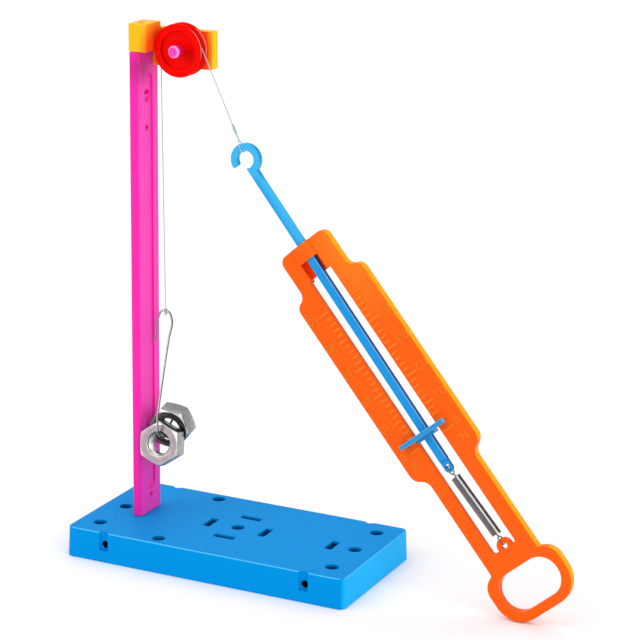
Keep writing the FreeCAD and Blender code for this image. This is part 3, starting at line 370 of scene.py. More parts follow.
class NutSizes(bpy.types.PropertyGroup):
    """Sizes of the two hexagon nuts."""
    flats: millimetres("Across flats", "Width of the nut over its flats", 19.0)
    thickness: millimetres("Thickness", "Height of the nut", 10.0)
    bore: millimetres("Thread tip radius", "Radius inside the thread", 5.1)
    pitch: millimetres("Thread pitch", "Rise of the thread in one turn", 1.75)


class StringSizes(bpy.types.PropertyGroup):
    """Sizes of the twisted string."""
    radius: millimetres("String radius", "Outside radius of the twisted string", 0.275)
    lay: millimetres("Lay", "Length in which a strand goes once round the string", 1.9)
    strands: IntProperty(name="Strands", description="How many strands the string is laid from",
                         default=3, min=2, max=5)


class SpringSizes(bpy.types.PropertyGroup):
    """Sizes of the tension spring."""
    wire: millimetres("Wire radius", "Radius of the spring's wire", 0.33)
    radius: millimetres("Coil radius", "Outside radius of the coil", 2.45)
    turns: IntProperty(name="Turns", description="Number of close-wound turns", default=46, min=10, max=90)


class NumberSizes(bpy.types.PropertyGroup):
    """Sizes of the raised numbers on the scale."""
    height: millimetres("Letter size", "Size of the raised numbers", 5.6)
    proud: millimetres("Height above the face", "How far the numbers stand up", 0.3)


class StageLook(bpy.types.PropertyGroup):
    """Camera and light."""
    azimuth: heading("Camera azimuth", "Angle round the object", 25.797)
    elevation: heading("Camera elevation", "Angle above the horizon", 16.038)
    roll: heading("Camera roll", "Turn about the line of sight", 0.745)
    distance: FloatProperty(name="Camera distance", description="Distance from the point looked at",
                            default=1.12, unit="LENGTH")
    lens: FloatProperty(name="Focal length", description="Focal length on a 36 mm sensor",
                        default=134.79, subtype="DISTANCE_CAMERA")
    sky: strength("Surround light", "Strength of the even light from all sides", 0.74)
    key: strength("Main light", "Strength of the soft light at the upper left", 0.72)
    side: strength("Side light", "Strength of the soft light at the right", 0.72)
    top: strength("Top light", "Strength of the soft light from above", 0.6)
    floor: swatch("Floor", "Pale colour of the floor", (0.95, 0.95, 0.95))


def colours():
    return bpy.context.scene.demo_colours


# ---------------------------------------------------------------- finishes
class Board:
    """A node tree that is filled from the left, one call per node."""

    def __init__(self, tree):
        self.tree = tree
        self.column = 0

    def add(self, kind, inputs=None, **settings):
        node = self.tree.nodes.new(kind)
        node.location = (self.column * 190, 0)
        self.column += 1
        for key, value in settings.items():
            setattr(node, key, value)
        for key, value in (inputs or {}).items():
            if isinstance(value, bpy.types.NodeSocket):
                self.tree.links.new(value, node.inputs[key])
            else:
                node.inputs[key].default_value = value
        return node

    def noise(self, coords, size, detail=2.0, roughness=0.5, distortion=0.0):
        """Noise whose patches are about size metres across."""
        return self.add("ShaderNodeTexNoise", {
            "Vector": coords, "Scale": 1 / size, "Detail": detail, "Roughness": roughness,
            "Distortion": distortion}).outputs["Fac"]

    def ramp(self, value, low, high, to_low=0.0, to_high=1.0):
        return self.add("ShaderNodeMapRange", {
            "Value": value, "From Min": low, "From Max": high, "To Min": to_low, "To Max": to_high},
            clamp=True).outputs["Result"]

    def math(self, operation, first, second):
        return self.add("ShaderNodeMath", {0: first, 1: second}, operation=operation).outputs[0]

    def times(self, first, second):
        return self.math("MULTIPLY", first, second)

    def plus(self, first, second):
        return self.math("ADD", first, second)

    def mix(self, share, first, second):
        return self.add("ShaderNodeMix", {0: share, 6: first, 7: second}, data_type="RGBA").outputs[2]

    def stretched(self, coords, scale, turn=(0, 0, 0)):
        return self.add("ShaderNodeMapping", {"Vector": coords, "Scale": scale, "Rotation": turn}).outputs[0]


def effect(name, inputs, outputs, build):
    """A shader node group, built once: its named inputs and outputs, and what is between them."""
    if name in bpy.data.node_groups:
        return bpy.data.node_groups[name]
    tree = bpy.data.node_groups.new(name, "ShaderNodeTree")
    for way, sockets in (("INPUT", inputs), ("OUTPUT", outputs)):
        for label, kind in sockets.items():
            tree.interface.new_socket(name=label, in_out=way, socket_type=kind)
    board = Board(tree)
    board.add("NodeGroupOutput", build(board, board.add("NodeGroupInput").outputs))
    return tree


FLOAT, COLOUR, VECTOR = "NodeSocketFloat", "NodeSocketColor", "NodeSocketVector"
SKIN = {"Colour": COLOUR, "Roughness": FLOAT, "Height": FLOAT}


def moulded_skin():
    """Fine spark grain, slow flow marks and a faint change of shade of an injection moulding."""
    def build(board, entry):
        grain = board.noise(entry["Coords"], 0.25 * MM, 3.0, 0.6)
        swell = board.noise(entry["Coords"], 7 * MM, 2.0, 0.4)
        flow = board.noise(board.stretched(entry["Coords"], (1.0, 1.0, 0.18)), 4 * MM, 3.0, 0.55, 0.6)
        shade = board.times(board.ramp(flow, 0.3, 0.7), entry["Shade"])
        return {"Colour": board.mix(shade, entry["Colour"], entry["Deep"]),
                "Roughness": board.plus(board.ramp(swell, 0.25, 0.75, -0.05, 0.05), entry["Gloss"]),
                "Height": board.plus(board.times(grain, 0.18), swell)}
    return effect("Moulded skin", {"Coords": VECTOR, "Colour": COLOUR, "Deep": COLOUR, "Shade": FLOAT,
                                   "Gloss": FLOAT}, SKIN, build)


def fine_scratches():
    """Short hairlines from handling, in two directions, as a mask."""
    def build(board, entry):
        masks = []
        for turn, size in (((0.3, 0.5, 0.2), 1.1 * MM), ((1.1, -0.4, 0.9), 0.8 * MM)):
            lines = board.noise(board.stretched(entry["Coords"], (1.0, 14.0, 1.0), turn), size, 1.0)
            masks.append(board.ramp(lines, 0.67, 0.74))
        where = board.ramp(board.noise(entry["Coords"], 18 * MM), 0.45, 0.65)
        return {"Mask": board.times(board.times(board.math("MAXIMUM", *masks), where), entry["Amount"])}
    return effect("Fine scratches", {"Coords": VECTOR, "Amount": FLOAT}, {"Mask": FLOAT}, build)


def zinc_skin():
    """Cloudy zinc on steel: spangles, soft patches and small dull spots."""
    def build(board, entry):
        cells = board.add("ShaderNodeTexVoronoi", {"Vector": entry["Coords"], "Scale": 1 / (0.9 * MM)})
        cloud = board.noise(entry["Coords"], 2.5 * MM, 4.0, 0.6)
        patches = board.noise(entry["Coords"], 0.5 * MM, 2.0)
        spots = board.ramp(board.noise(entry["Coords"], 0.7 * MM, 3.0, 0.7), 0.60, 0.72)
        tone = board.plus(board.times(board.ramp(cloud, 0.3, 0.7), 0.6),
                          board.times(board.ramp(patches, 0.35, 0.65), 0.4))
        colour = board.mix(tone, entry["Dark"], entry["Light"])
        rough = board.plus(board.times(cloud, 0.22), entry["Roughness"])
        return {"Colour": board.mix(board.times(spots, entry["Spots"]), colour, entry["Dark"]),
                "Roughness": board.plus(rough, board.times(spots, 0.2)),
                "Height": board.plus(board.times(patches, 0.6), board.times(cells.outputs["Distance"], 0.25))}
    return effect("Zinc skin", {"Coords": VECTOR, "Dark": COLOUR, "Light": COLOUR, "Spots": FLOAT,
                                "Roughness": FLOAT}, SKIN, build)


def group_node(board, tree, **inputs):
    return board.add("ShaderNodeGroup", inputs, node_tree=tree).outputs


def new_finish(name):
    """An empty material: its board, its Principled shader and its Object coordinates."""
    material = bpy.data.materials.new(name)
    material.use_nodes = True
    board = Board(material.node_tree)
    shader = next(node for node in material.node_tree.nodes if node.type == "BSDF_PRINCIPLED")
    coords = board.add("ShaderNodeTexCoord").outputs["Object"]
    return material, board, shader, coords


def wire_up(board, shader, colour, rough, height, bump, distance):
    links = board.tree.links
    links.new(colour, shader.inputs["Base Color"])
    links.new(rough, shader.inputs["Roughness"])
    node = board.add("ShaderNodeBump", {"Strength": bump, "Distance": distance, "Height": height})
    links.new(node.outputs["Normal"], shader.inputs["Normal"])


def solid(colour, share=1.0):
    return tuple(channel * share for channel in colour[:3]) + (1.0,)


def dot(board, vector, axis):
    """Length of a vector socket along an axis."""
    node = board.add("ShaderNodeVectorMath", {0: vector, 1: tuple(axis)}, operation="DOT_PRODUCT")
    return node.outputs["Value"]


def offset_from(board, coords, origin):
    return board.add("ShaderNodeVectorMath", {0: coords, 1: tuple(origin)}, operation="SUBTRACT").outputs[0]


def mask(build):
    """A mask is called with its own values first, and gives what adds its nodes to a board."""
    return lambda *values: lambda board, coords: build(board, coords, *values)


@mask
def facing(board, coords, axis, low, high):
    """1 where a surface faces along axis, by its own normal: from 0 at low to 1 at high."""
    normal = board.add("ShaderNodeTexCoord").outputs["Normal"]
    return board.ramp(dot(board, normal, Vector(axis).normalized()), low, high)


@mask
def beyond(board, coords, origin, axis, low, high):
    """From 0 at low to 1 at high (mm), measured along axis from origin. High may be less than low."""
    return board.ramp(dot(board, offset_from(board, coords, origin), axis), low * MM, high * MM)


@mask
def near(board, coords, point, inner, outer):
    """1 within inner (mm) of a point, 0 beyond outer."""
    way = board.add("ShaderNodeVectorMath", {0: coords, 1: tuple(point)}, operation="DISTANCE")
    return board.ramp(way.outputs["Value"], inner * MM, outer * MM, 1.0, 0.0)


@mask
def beside(board, coords, origin, axis, inner, outer):
    """1 within inner (mm) of an axis through origin, 0 beyond outer. Outer may be less than inner."""
    way = offset_from(board, coords, origin)
    square = board.add("ShaderNodeVectorMath", {0: way, 1: tuple(axis)}, operation="CROSS_PRODUCT")
    reach = board.add("ShaderNodeVectorMath", {0: square.outputs[0]}, operation="LENGTH")
    return board.ramp(reach.outputs["Value"], inner * MM, outer * MM, 1.0, 0.0)


@mask
def measured(board, coords, name, low, high):
    """A mask from a length (mm) that the mesh itself keeps, so that it stays when the piece stretches."""
    kept = board.add("ShaderNodeAttribute", attribute_name=name, attribute_type="GEOMETRY")
    return board.ramp(kept.outputs["Fac"], low, high)


@mask
def both(board, coords, *masks):
    """Where all of these masks are."""
    product = masks[0](board, coords)
    for other in masks[1:]:
        product = board.times(product, other(board, coords))
    return product


@mask
def share_of(board, coords, whole, share):
    return board.times(whole(board, coords), share)


def tinted(board, coords, tone, tints):
    """Fades a colour to each tint where its mask is 1."""
    for where, tint in tints:
        tone = board.mix(where(board, coords), tone, solid(tint))
    return tone


def plastic(name, colour, tints=(), gloss=0.3, shade=0.3, scratches=0.2, bump=0.05, specular=0.05, soft=0.0):
    """Glossy moulded plastic. Each tint is a mask and the colour it fades to."""
    material, board, shader, coords = new_finish(name)
    skin = group_node(board, moulded_skin(), Coords=coords, Colour=solid(colour), Deep=solid(colour, 0.95),
                      Shade=shade, Gloss=gloss)
    worn = group_node(board, fine_scratches(), Coords=coords, Amount=scratches)["Mask"]
    pale = tuple(min(1.0, 0.2 + channel * 0.85) for channel in colour[:3]) + (1.0,)
    tone = board.mix(board.times(worn, 0.18), tinted(board, coords, skin["Colour"], tints), pale)
    rough = board.plus(skin["Roughness"], board.times(worn, 0.18))
    height = board.math("SUBTRACT", skin["Height"], board.times(worn, 0.35))
    wire_up(board, shader, tone, rough, height, bump, 0.12 * MM)
    for socket, value in (("Specular IOR Level", specular), ("Subsurface Weight", soft),
                          ("Subsurface Radius", (1.0, 0.25, 0.08)), ("Subsurface Scale", 2 * MM)):
        shader.inputs[socket].default_value = value
    return material


def metal(name, colour, tints, dark, light, rough, spots):
    """Zinc plated or drawn steel, with painted reflections of a studio round it."""
    material, board, shader, coords = new_finish(name)
    skin = group_node(board, zinc_skin(), Coords=coords, Dark=solid(colour, dark), Light=solid(colour, light),
                      Spots=spots, Roughness=rough)
    tone = tinted(board, coords, skin["Colour"], tints)
    wire_up(board, shader, tone, skin["Roughness"], skin["Height"], 0.15, 0.05 * MM)
    shader.inputs["Metallic"].default_value = 1.0
    return material


def yarn(name, colour):
    """Fibres of the laid string: fuzzy, with a soft sheen, lighter and darker in patches along the fibres."""
    material, board, shader, coords = new_finish(name)
    fibre = board.noise(board.stretched(coords, (1.0, 1.0, 0.3)), 0.05 * MM, 3.0, 0.7)
    patch = board.noise(coords, 1.5 * MM, 3.0)
    tone = board.plus(board.times(board.ramp(fibre, 0.3, 0.7), 0.6),
                      board.times(board.ramp(patch, 0.3, 0.7), 0.4))
    colour = board.mix(tone, solid(colour, 0.72), tuple(min(1.0, c * 1.25) for c in colour[:3]) + (1.0,))
    rough = board.ramp(fibre, 0.2, 0.8, 0.65, 0.9)
    wire_up(board, shader, colour, rough, fibre, 0.5, 0.03 * MM)
    shader.inputs["Sheen Weight"].default_value = 0.5
    shader.inputs["Sheen Roughness"].default_value = 0.5
    return material


def finish(name, make, *values, **options):
    """The material of that name, made at its first use."""
    return bpy.data.materials.get(name) or make(name, *values, **options)


# Greys painted on the steel as the reflections, highlights and shade that a studio would give.
GREYS = {"black": (0.035, 0.033, 0.034), "dark": (0.10, 0.10, 0.10), "dull": (0.26, 0.26, 0.255),
         "light": (0.55, 0.45, 0.48), "white": (1.0, 1.0, 1.0)}


def steel_of_nut(name, centre, axis):
    """Zinc plate with painted reflections: painted highlights on the bevels, a bore painted dark above and
    bright below, and flats painted dull.
    """
    bore = beside(centre, axis, 6.2, 6.5)
    bevel = both(facing(axis, 0.5, 0.7), facing(-axis, -0.95, -0.92), facing((-0.2, -0.3, 1), -0.3, 0.5))
    # Painted light and shade: the front nut's face is painted light, the rear nut's face dark in the front
    # nut's shade; the top flats are painted dark or dull.
    face, flat = ("light", "dark") if name == "front" else ("dark", "dull")
    return finish(f"zinc_plated_{name}_nut", metal, colours().steel, [
        (share_of(facing(axis, 0.93, 0.97), 0.85), GREYS[face]), (share_of(bevel, 0.6), GREYS["white"]),
        (both(facing((0.5, 0, 0.85), 0.88, 0.97), facing(axis, -0.5, 0.1)), GREYS[flat]),
        (both(bore, facing(-UP, 0.0, 0.6)), GREYS["dark"]),
        (both(bore, facing((-0.2, -0.2, 1), 0.55, 0.85)), GREYS["white"])],
                  dark=0.45, light=1.3, rough=0.16, spots=0.5)


def steel_of_spring():
    """Spring wire: a painted highlight line a little right of the middle, and painted dark reflections on the
    flanks.
    """
    # Painted reflections: a dark band left of the middle, a white line right of it and black at the right
    # flank.
    left = both(measured("across", -0.5, 0.1), measured("across", 1.35, 1.1))
    line = both(measured("across", 1.3, 1.5), measured("across", 1.95, 1.75))
    return finish("spring_wire", metal, colours().steel, [
        (share_of(left, 0.6), GREYS["dark"]), (share_of(line, 0.9), GREYS["white"]),
        (measured("across", 2.05, 2.3), GREYS["black"])], dark=0.45, light=1.1, rough=0.2, spots=0.3)


def steel_of_hook():
    """Bright drawn wire with painted dark reflections on its flanks."""
    return finish("drawn_wire", metal, colours().steel, [
        (facing(VIEW_RIGHT, -0.1, 0.15), GREYS["dark"]), (facing(-VIEW_RIGHT, 0.6, 0.85), GREYS["dull"])],
                  dark=1.2, light=2.0, rough=0.1, spots=0.1)


# Down the housing (mm): the lower edges of its bridge and of the channel under it, and the first mark.
BRIDGE_FOOT, CHANNEL_FOOT, FIRST_MARK = 55.4, 65.0, 66.0


def scale_orange():
    """Orange of the housing, with painted highlights on the raised marks, painted light towards its right and
    on its right edges, and a painted red glow in the shaded channel at its head.
    """
    tint = colours()

    def body(axis, low, high):
        return beyond(BODY_ORIGIN, axis, low, high)
    # Painted highlight on the tops of the raised marks, from the first mark down.
    marks = both(body(FACE_OUT, FACE_LEVEL + 0.04, FACE_LEVEL + 0.20),
                 body(BODY_DOWN, FIRST_MARK, FIRST_MARK + 0.5))
    # Painted light: paler orange towards the right of the face, over the upper part of the housing.
    pale = both(body(BODY_ACROSS, -4.0, 14.0), body(BODY_DOWN, 105.0, 70.0))
    # Painted light on the right edge's faces that turn to the side light.
    right = both(facing(BODY_ACROSS, 0.45, 0.9), body(BODY_ACROSS, 7.2, 8.2))
    # Painted light in the channel under the bridge, for light shining through the plastic.
    channel = both(body(BODY_DOWN, BRIDGE_FOOT - 0.6, BRIDGE_FOOT),
                   body(BODY_DOWN, CHANNEL_FOOT + 1, CHANNEL_FOOT),
                   body(BODY_ACROSS, -6.7, -6.3), body(BODY_ACROSS, 5.0, 4.6),
                   body(FACE_OUT, FACE_LEVEL - 0.1, FACE_LEVEL - 0.3), facing(-FACE_OUT, 0.5, 0.1))
    return finish("orange_plastic", plastic, tint.scale, [
        (pale, tint.scale_light), (right, tint.scale_side), (marks, tint.scale_raised),
        (channel, tint.scale_recess)], soft=0.3)


def white_string():
    return finish("laid_string", yarn, colours().string)


def paint(piece, material):
    piece.data.materials.clear()
    piece.data.materials.append(material)


# ---------------------------------------------------------------- mouldings that the frame carries
def frame_box(name):
    """The lowest and the highest corner of a node of the frame."""
    node = frame["nodes"][name]
    corners = [node.matrix_world @ Vector(corner) for corner in node.bound_box]
    return (Vector(min(corner[i] for corner in corners) for i in range(3)),
            Vector(max(corner[i] for corner in corners) for i in range(3)))


class DEMO_OT_mouldings(bpy.types.Operator):
    """Finish the base, post, bracket, axle peg, wire hook and scale that come from the frame"""
    bl_idname = "demo.mouldings"
    bl_label = "Mouldings"

    def execute(self, context):
        looks = {
            "base_plate": self.base_blue(), "upright_post": self.post_pink(),
            "axle_peg": self.peg_pink(), "head_bracket": self.bracket_yellow(),
            "scale_housing": scale_orange(), "scale_rod": self.rod_blue(),
            "scale_pointer": self.pointer_blue(), "weight_wire_hook": steel_of_hook(),
        }
        for name, material in looks.items():
            node = frame["nodes"][name]
            for slot in node.material_slots:
                slot.material = material
        return {"FINISHED"}

    @staticmethod
    def base_blue():
        tint = colours()
        low, high = frame_box("base_plate")
        ends, sides = (1.3, 1.5), (3.5, 3.8)
        # Painted shade: below the top and inside the outline, so in the holes, the blue is darkened.
        within = both(beyond(high, -UP, 0.6, 1.4), beyond(low, RIGHT, *ends), beyond(high, -RIGHT, *ends),
                      beyond(low, BACK, *sides), beyond(high, -BACK, *sides))
        return finish("azure_plastic", plastic, tint.base, [
            # Painted light on the plate's right end.
            (both(facing(RIGHT, 0.5, 0.95), beyond((low + high) / 2, RIGHT, 60.0, 65.0)), tint.base_side),
            # Painted highlights on the rounded top edges at the front and at the right end.
            (facing(UP - BACK, 0.90, 0.985), tint.base_edge),
            (facing(UP + RIGHT, 0.90, 0.985), tint.base_edge),
            (within, tint.base_deep)], specular=0.02, scratches=0.0, shade=0.12, bump=0.02)

    @staticmethod
    def post_pink():
        tint = colours()
        low, high = frame_box("upright_post")
        bracket = frame_box("head_bracket")[0].z
        # Painted shadow: the post is darkened around this point, under the head bracket.
        under = Vector((high.x, low.y + 4.5 * MM, bracket))
        return finish("magenta_plastic", plastic, tint.post, [
            # Painted light on the post's right side and a painted highlight on its rounded crown.
            (facing(RIGHT, 0.75, 0.95), tint.post_side), (facing((-0.2, -1, 1), 0.85, 0.97), tint.post_side),
            (share_of(near(under, 1.0, 11.5), 0.75), tint.post_shade)], gloss=0.34)

    @staticmethod
    def peg_pink():
        tint = colours()
        tip = Vector((WHEEL_CENTRE.x, frame_box("axle_peg")[0].y, WHEEL_CENTRE.z))
        return finish("peg_plastic", plastic, tint.peg, [
            # Painted shade and red reflection on the peg inside the hub.
            (both(beyond(tip, BACK, 1.0, 2.6), near(WHEEL_CENTRE, 7.0, 9.0)), tint.peg_deep),
            # Painted highlight on the rounded edge of the peg's end.
            (both(facing(-BACK, 0.3, 0.6), facing(BACK, -0.97, -0.9)), tint.peg_edge)])

    @staticmethod
    def bracket_yellow():
        tint = colours()
        # Painted reflected light from the red wheel, on the bracket's faces near it.
        cast = both(near(WHEEL_CENTRE, 15.0, 20.5), facing(UP, 0.9, 0.5), facing(BACK, 0.5, 0.1),
                    beyond(WHEEL_CENTRE, RIGHT, 15.5, 11.5))
        # Painted light on the arm's right end.
        end = both(facing(RIGHT, 0.6, 0.9), beyond(WHEEL_CENTRE, RIGHT, 11.0, 13.5))
        return finish("yellow_plastic", plastic, tint.bracket, [
            (cast, tint.glow), (end, tint.bracket_end)], soft=0.1)

    @staticmethod
    def rod_blue():
        tint = colours()
        upper = beyond(RING_CENTRE, ROD_DOWN, 60.0, 50.0)
        lower = beyond(RING_CENTRE, ROD_DOWN, 50.0, 60.0)
        return finish("rod_plastic", plastic, tint.rod, [
            # Painted light: the ring and the right of the rod's top are paler.
            (both(upper, beyond(RING_CENTRE, ROD_ACROSS, -3.0, 1.5)), tint.rod_light),
            (near(RING_CENTRE, 8.5, 11.0), tint.rod_light),
            # Painted shade on the lower rod's right side.
            (both(facing(ROD_ACROSS, 0.75, 0.95), lower), tint.rod_side),
            # Painted highlight along the lower rod's right edge.
            (both(facing(FACE_OUT + ROD_ACROSS, 0.85, 0.97), lower), tint.rod_edge),
            # Painted shade on the ring's right side and along the rod's left rounded edges.
            (both(facing(ROD_ACROSS, 0.5, 0.9), near(RING_CENTRE, 10.0, 14.0)), tint.ring_edge),
            (facing(FACE_OUT - ROD_ACROSS, 0.90, 0.98), tint.ring_edge)])

    @staticmethod
    def pointer_blue():
        tint = colours()
        return finish("pointer_plastic", plastic, tint.pointer, [
            # Painted highlights on the pointer's upper edge and right side, and painted light on its lower
            # edge.
            (facing(FACE_OUT - ROD_DOWN, 0.85, 0.97), tint.rod_edge),
            (facing(FACE_OUT + ROD_DOWN, 0.85, 0.97), tint.rod_light),
            (facing(ROD_ACROSS, 0.75, 0.95), tint.rod_edge)])


# ---------------------------------------------------------------- pulley wheel
# The rims' flats, half the groove's floor, the slopes of the dish and the hub, and the hub's rise.
RIM_FLAT, HALF_FLOOR, DISH_SLOPE, HUB_SLOPE, HUB_PROUD = (size * MM for size in (1.0, 0.44, 0.35, 0.2, 0.25))


class DEMO_OT_wheel(bpy.types.Operator):
    """Turn the pulley wheel: groove, rims, a dish in each face and the hub"""
    bl_idname = "demo.wheel"
    bl_label = "Pulley wheel"

    def execute(self, context):
        size = context.scene.demo_wheel
        half = size.width / 2
        wheel = bar("Pulley_Wheel", 128, size.radius, size.width, 0)
        with editing(wheel):
            for height in (-half + RIM_FLAT, -HALF_FLOOR, HALF_FLOOR, half - RIM_FLAT):
                cut_at(wheel, height)
            pick(wheel, "verts", lambda v: abs(v.co.z) < HALF_FLOOR * 1.1 and v.co.xy.length > size.bore)
            taper((size.radius - size.groove) / size.radius)
            for side in (1, -1):
                self.turn_face(wheel, size, side)
            pick(wheel, "faces", lambda f: len(f.verts) > 8)
            bpy.ops.mesh.bridge_edge_loops()
            self.round_edges(wheel, size, half)
            outward()
        smooth(wheel, 32)
        settle(wheel, Matrix.Translation(WHEEL_CENTRE) @ Matrix.Rotation(pi / 2, 4, "X"))
        paint(wheel, self.wheel_red(size))
        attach(wheel, "pulley")
        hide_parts("pulley_wheel")
        return {"FINISHED"}

    @staticmethod
    def wheel_red(size):
        tint = colours()
        rim = size.radius / MM
        # Painted shade in the groove between the rims.
        groove = both(beside(WHEEL_CENTRE, BACK, 9.8, 9.5), beside(WHEEL_CENTRE, BACK, rim - 1.6, rim - 0.8),
                      beyond(WHEEL_CENTRE, -BACK, -2.3, -1.9), beyond(WHEEL_CENTRE, BACK, -2.3, -1.9))
        # Painted highlight on the rims' rounded outer edges.
        rims = both(facing((0.9, -0.8, 0.35), 0.86, 0.95), beside(WHEEL_CENTRE, BACK, rim - 0.25, rim - 0.45))
        # Painted shadow of the peg on the dish, and painted shade on the dish's left wall.
        by_hub = near(WHEEL_CENTRE + Vector((5.4, -1.6, -1.6)) * MM, 0.5, 5.0)
        dish_side = both(facing((1, 0, 0.2), 0.5, 0.8), beside(WHEEL_CENTRE, BACK, 9.3, 9.6))
        return finish("red_plastic", plastic, tint.wheel, [
            (share_of(by_hub, 0.75), tint.wheel_deep), (share_of(dish_side, 0.6), tint.wheel_deep),
            (groove, tint.wheel_deep), (rims, tint.wheel_edge)], gloss=0.22, specular=0.04, soft=0.15)

    @staticmethod
    def turn_face(wheel, size, side):
        """The dish, its floor and the hub of one face, inset and extruded from the cap."""
        pick(wheel, "faces", lambda f: len(f.verts) > 8 and f.normal.z * side > 0.9)
        bpy.ops.mesh.inset(thickness=size.radius - size.recess)
        for rise, radius, slope, inset in (
                (-size.dish, size.recess, -DISH_SLOPE, size.recess - DISH_SLOPE - size.hub - HUB_SLOPE),
                (HUB_PROUD, size.hub + HUB_SLOPE, -HUB_SLOPE, size.hub - size.bore)):
            bpy.ops.mesh.extrude_region_move(TRANSFORM_OT_translate={"value": (0, 0, side * rise)})
            taper((radius + slope) / radius)
            bpy.ops.mesh.inset(thickness=inset)

    @staticmethod
    def round_edges(wheel, size, half):
        """Rounds over the rims, the dish and the hub."""
        floor = half - size.dish
        rings = [(size.radius, half, 0.38), (size.radius, half - RIM_FLAT, 0.3), (size.recess, half, 0.3),
                 (size.recess - DISH_SLOPE, floor, 0.4), (size.hub, floor + HUB_PROUD, 0.15)]
        for side in (1, -1):
            for radius, height, offset in rings:
                pick(wheel, "edges", lambda e: ring_edge(e, radius, side * height))
                bpy.ops.mesh.bevel(offset=offset * MM, segments=3, affect="EDGES")


# ---------------------------------------------------------------- hexagon nuts
# Where the centre of each nut's front face is from the top of the wire hook (mm), and its turns (degrees).
NUT_SEATS = {
    "front": ((4.9, -16.4, -62.2), (6.97, -14.23, -5.35)),
    "rear": ((3.4, -4.0, -58.8), (6.5, 7.7, -20.9)),
}
# Its thread's depth, half the thread's foot, the plain bore at both ends together and the countersink.
THREAD_DEPTH, HALF_FOOT, PLAIN_ENDS, COUNTERSINK = (size * MM for size in (0.75, 0.8, 2.6, 1.1))
# How far the bevel's circle is inside the flats, and the rounding and the weld of the edges.
FACE_INSET, EDGE_ROUND, WELD = (size * MM for size in (0.15, 0.14, 0.002))


class DEMO_OT_nuts(bpy.types.Operator):
    """Make one threaded hexagon nut and seat two of them on the wire hook"""
    bl_idname = "demo.nuts"
    bl_label = "Hexagon nuts"

    def execute(self, context):
        size = context.scene.demo_nuts
        nut = bar("Nut_Blank", 6, size.flats / 2 / cos(pi / 6), size.thickness, size.thickness)
        for cutter, way in ((self.turned_blank(size), "INTERSECT"), (self.bore_tool(size), "DIFFERENCE")):
            modifier(nut, "BOOLEAN", operation=way, object=cutter, solver="EXACT")
            remove(cutter)
        with editing(nut):
            bpy.ops.mesh.select_all(action="SELECT")
            bpy.ops.mesh.remove_doubles(threshold=WELD)
            outward()
        modifier(nut, "BEVEL", width=EDGE_ROUND, segments=2, limit_method="ANGLE", angle_limit=radians(25))
        nut = join(nut, self.thread(size))
        smooth(nut, 30)
        for name, (offset, (yaw, pitch, roll)) in NUT_SEATS.items():
            made = copied(nut, f"Hex_Nut_{name.title()}")
            turn = (Matrix.Rotation(radians(yaw), 4, "Z") @ Matrix.Rotation(radians(pitch), 4, "X")
                    @ Matrix.Rotation(radians(roll), 4, "Y") @ Matrix.Rotation(-pi / 2, 4, "X"))
            seat = Matrix.Translation(WIRE_TOP + Vector(offset) * MM) @ turn
            settle(made, seat)
            paint(made, steel_of_nut(name, seat.translation, -(seat.to_3x3() @ UP)))
            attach(made, f"{name}_nut")
            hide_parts(f"hex_nut_{name}")
        remove(nut)
        return {"FINISHED"}

    @staticmethod
    def turned_blank(size):
        """A round blank with a 30 degree bevel at both ends, which rounds the hexagon's corners."""
        reach = 3.0 * MM
        edge = size.flats / 2 - FACE_INSET
        tool = bar("Nut_Turned", 96, edge + reach, size.thickness, size.thickness)
        fall = reach * tan(pi / 6)
        with editing(tool):
            for height in (fall, size.thickness - fall):
                cut_at(tool, height)
            pick(tool, "verts", lambda v: min(abs(v.co.z - h) for h in (0.0, size.thickness)) < 0.001 * MM)
            taper(edge / (edge + reach))
        return tool

    @staticmethod
    def bore_tool(size):
        """The drill for the thread's root, with a countersink at both ends."""
        root, sink, spare = size.bore + THREAD_DEPTH, size.bore + COUNTERSINK, 1 * MM
        tool = bar("Nut_Drill", 64, root, size.thickness + 2 * spare, size.thickness)
        with editing(tool):
            for height in (sink - root, size.thickness - sink + root):
                cut_at(tool, height)
            pick(tool, "verts", lambda v: v.co.z < 0 or v.co.z > size.thickness)
            taper((sink + spare) / root)
        return tool

    @staticmethod
    def thread(size):
        """The thread: a triangle swept up the bore, its foot a little inside the nut."""
        turns = int((size.thickness - PLAIN_ENDS) / size.pitch)
        start = (size.thickness - turns * size.pitch) / 2
        ridge = circle("Nut_Thread", 3, THREAD_DEPTH, (size.bore + THREAD_DEPTH / 2, 0, start))
        with editing(ridge):
            tip, wall = size.bore + 0.02 * MM, size.bore + THREAD_DEPTH + 0.1 * MM
            corners = sorted(bmesh.from_edit_mesh(ridge.data).verts, key=lambda v: v.co.z)
            for vertex, out, up in zip(corners, (wall, tip, wall), (-HALF_FOOT, 0, HALF_FOOT)):
                vertex.co = (out, 0, start + up)
            bmesh.update_edit_mesh(ridge.data)
        sweep(ridge, size.pitch, turns, 48)
        return ridge


# ---------------------------------------------------------------- string
def laid_string(name, length, size, radius=None):
    """A straight string of strands twisted together, standing on the origin along Z."""
    radius = radius or size.radius
    strands = size.strands
    strand = radius / (1 + 1 / sin(pi / strands))
    offset = radius - strand
    rings = []
    for angle in (2 * pi * index / strands for index in range(strands)):
        place = (offset * cos(angle), offset * sin(angle), 0)
        rings.append(circle(name, 8, strand * 1.08, place, tilt=0))
    rope = join(*rings)
    turns = max(1, round(length / size.lay))
    sweep(rope, length / turns, turns, 14)
    smooth(rope, 50)
    return rope


def lay_along(rope, points, closed=False):
    """Bends a straight string so that it follows a smooth curve from end to end."""
    path = bezier_path(f"{rope.name}_Path", points, 24, closed)
    path.data.use_stretch = True
    path.data.use_deform_bounds = True
    modifier(rope, "CURVE", object=path, deform_axis="POS_Z")
    remove(path)


def string_piece(rope, body, *nodes):
    paint(rope, white_string())
    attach(rope, body)
    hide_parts(*nodes)


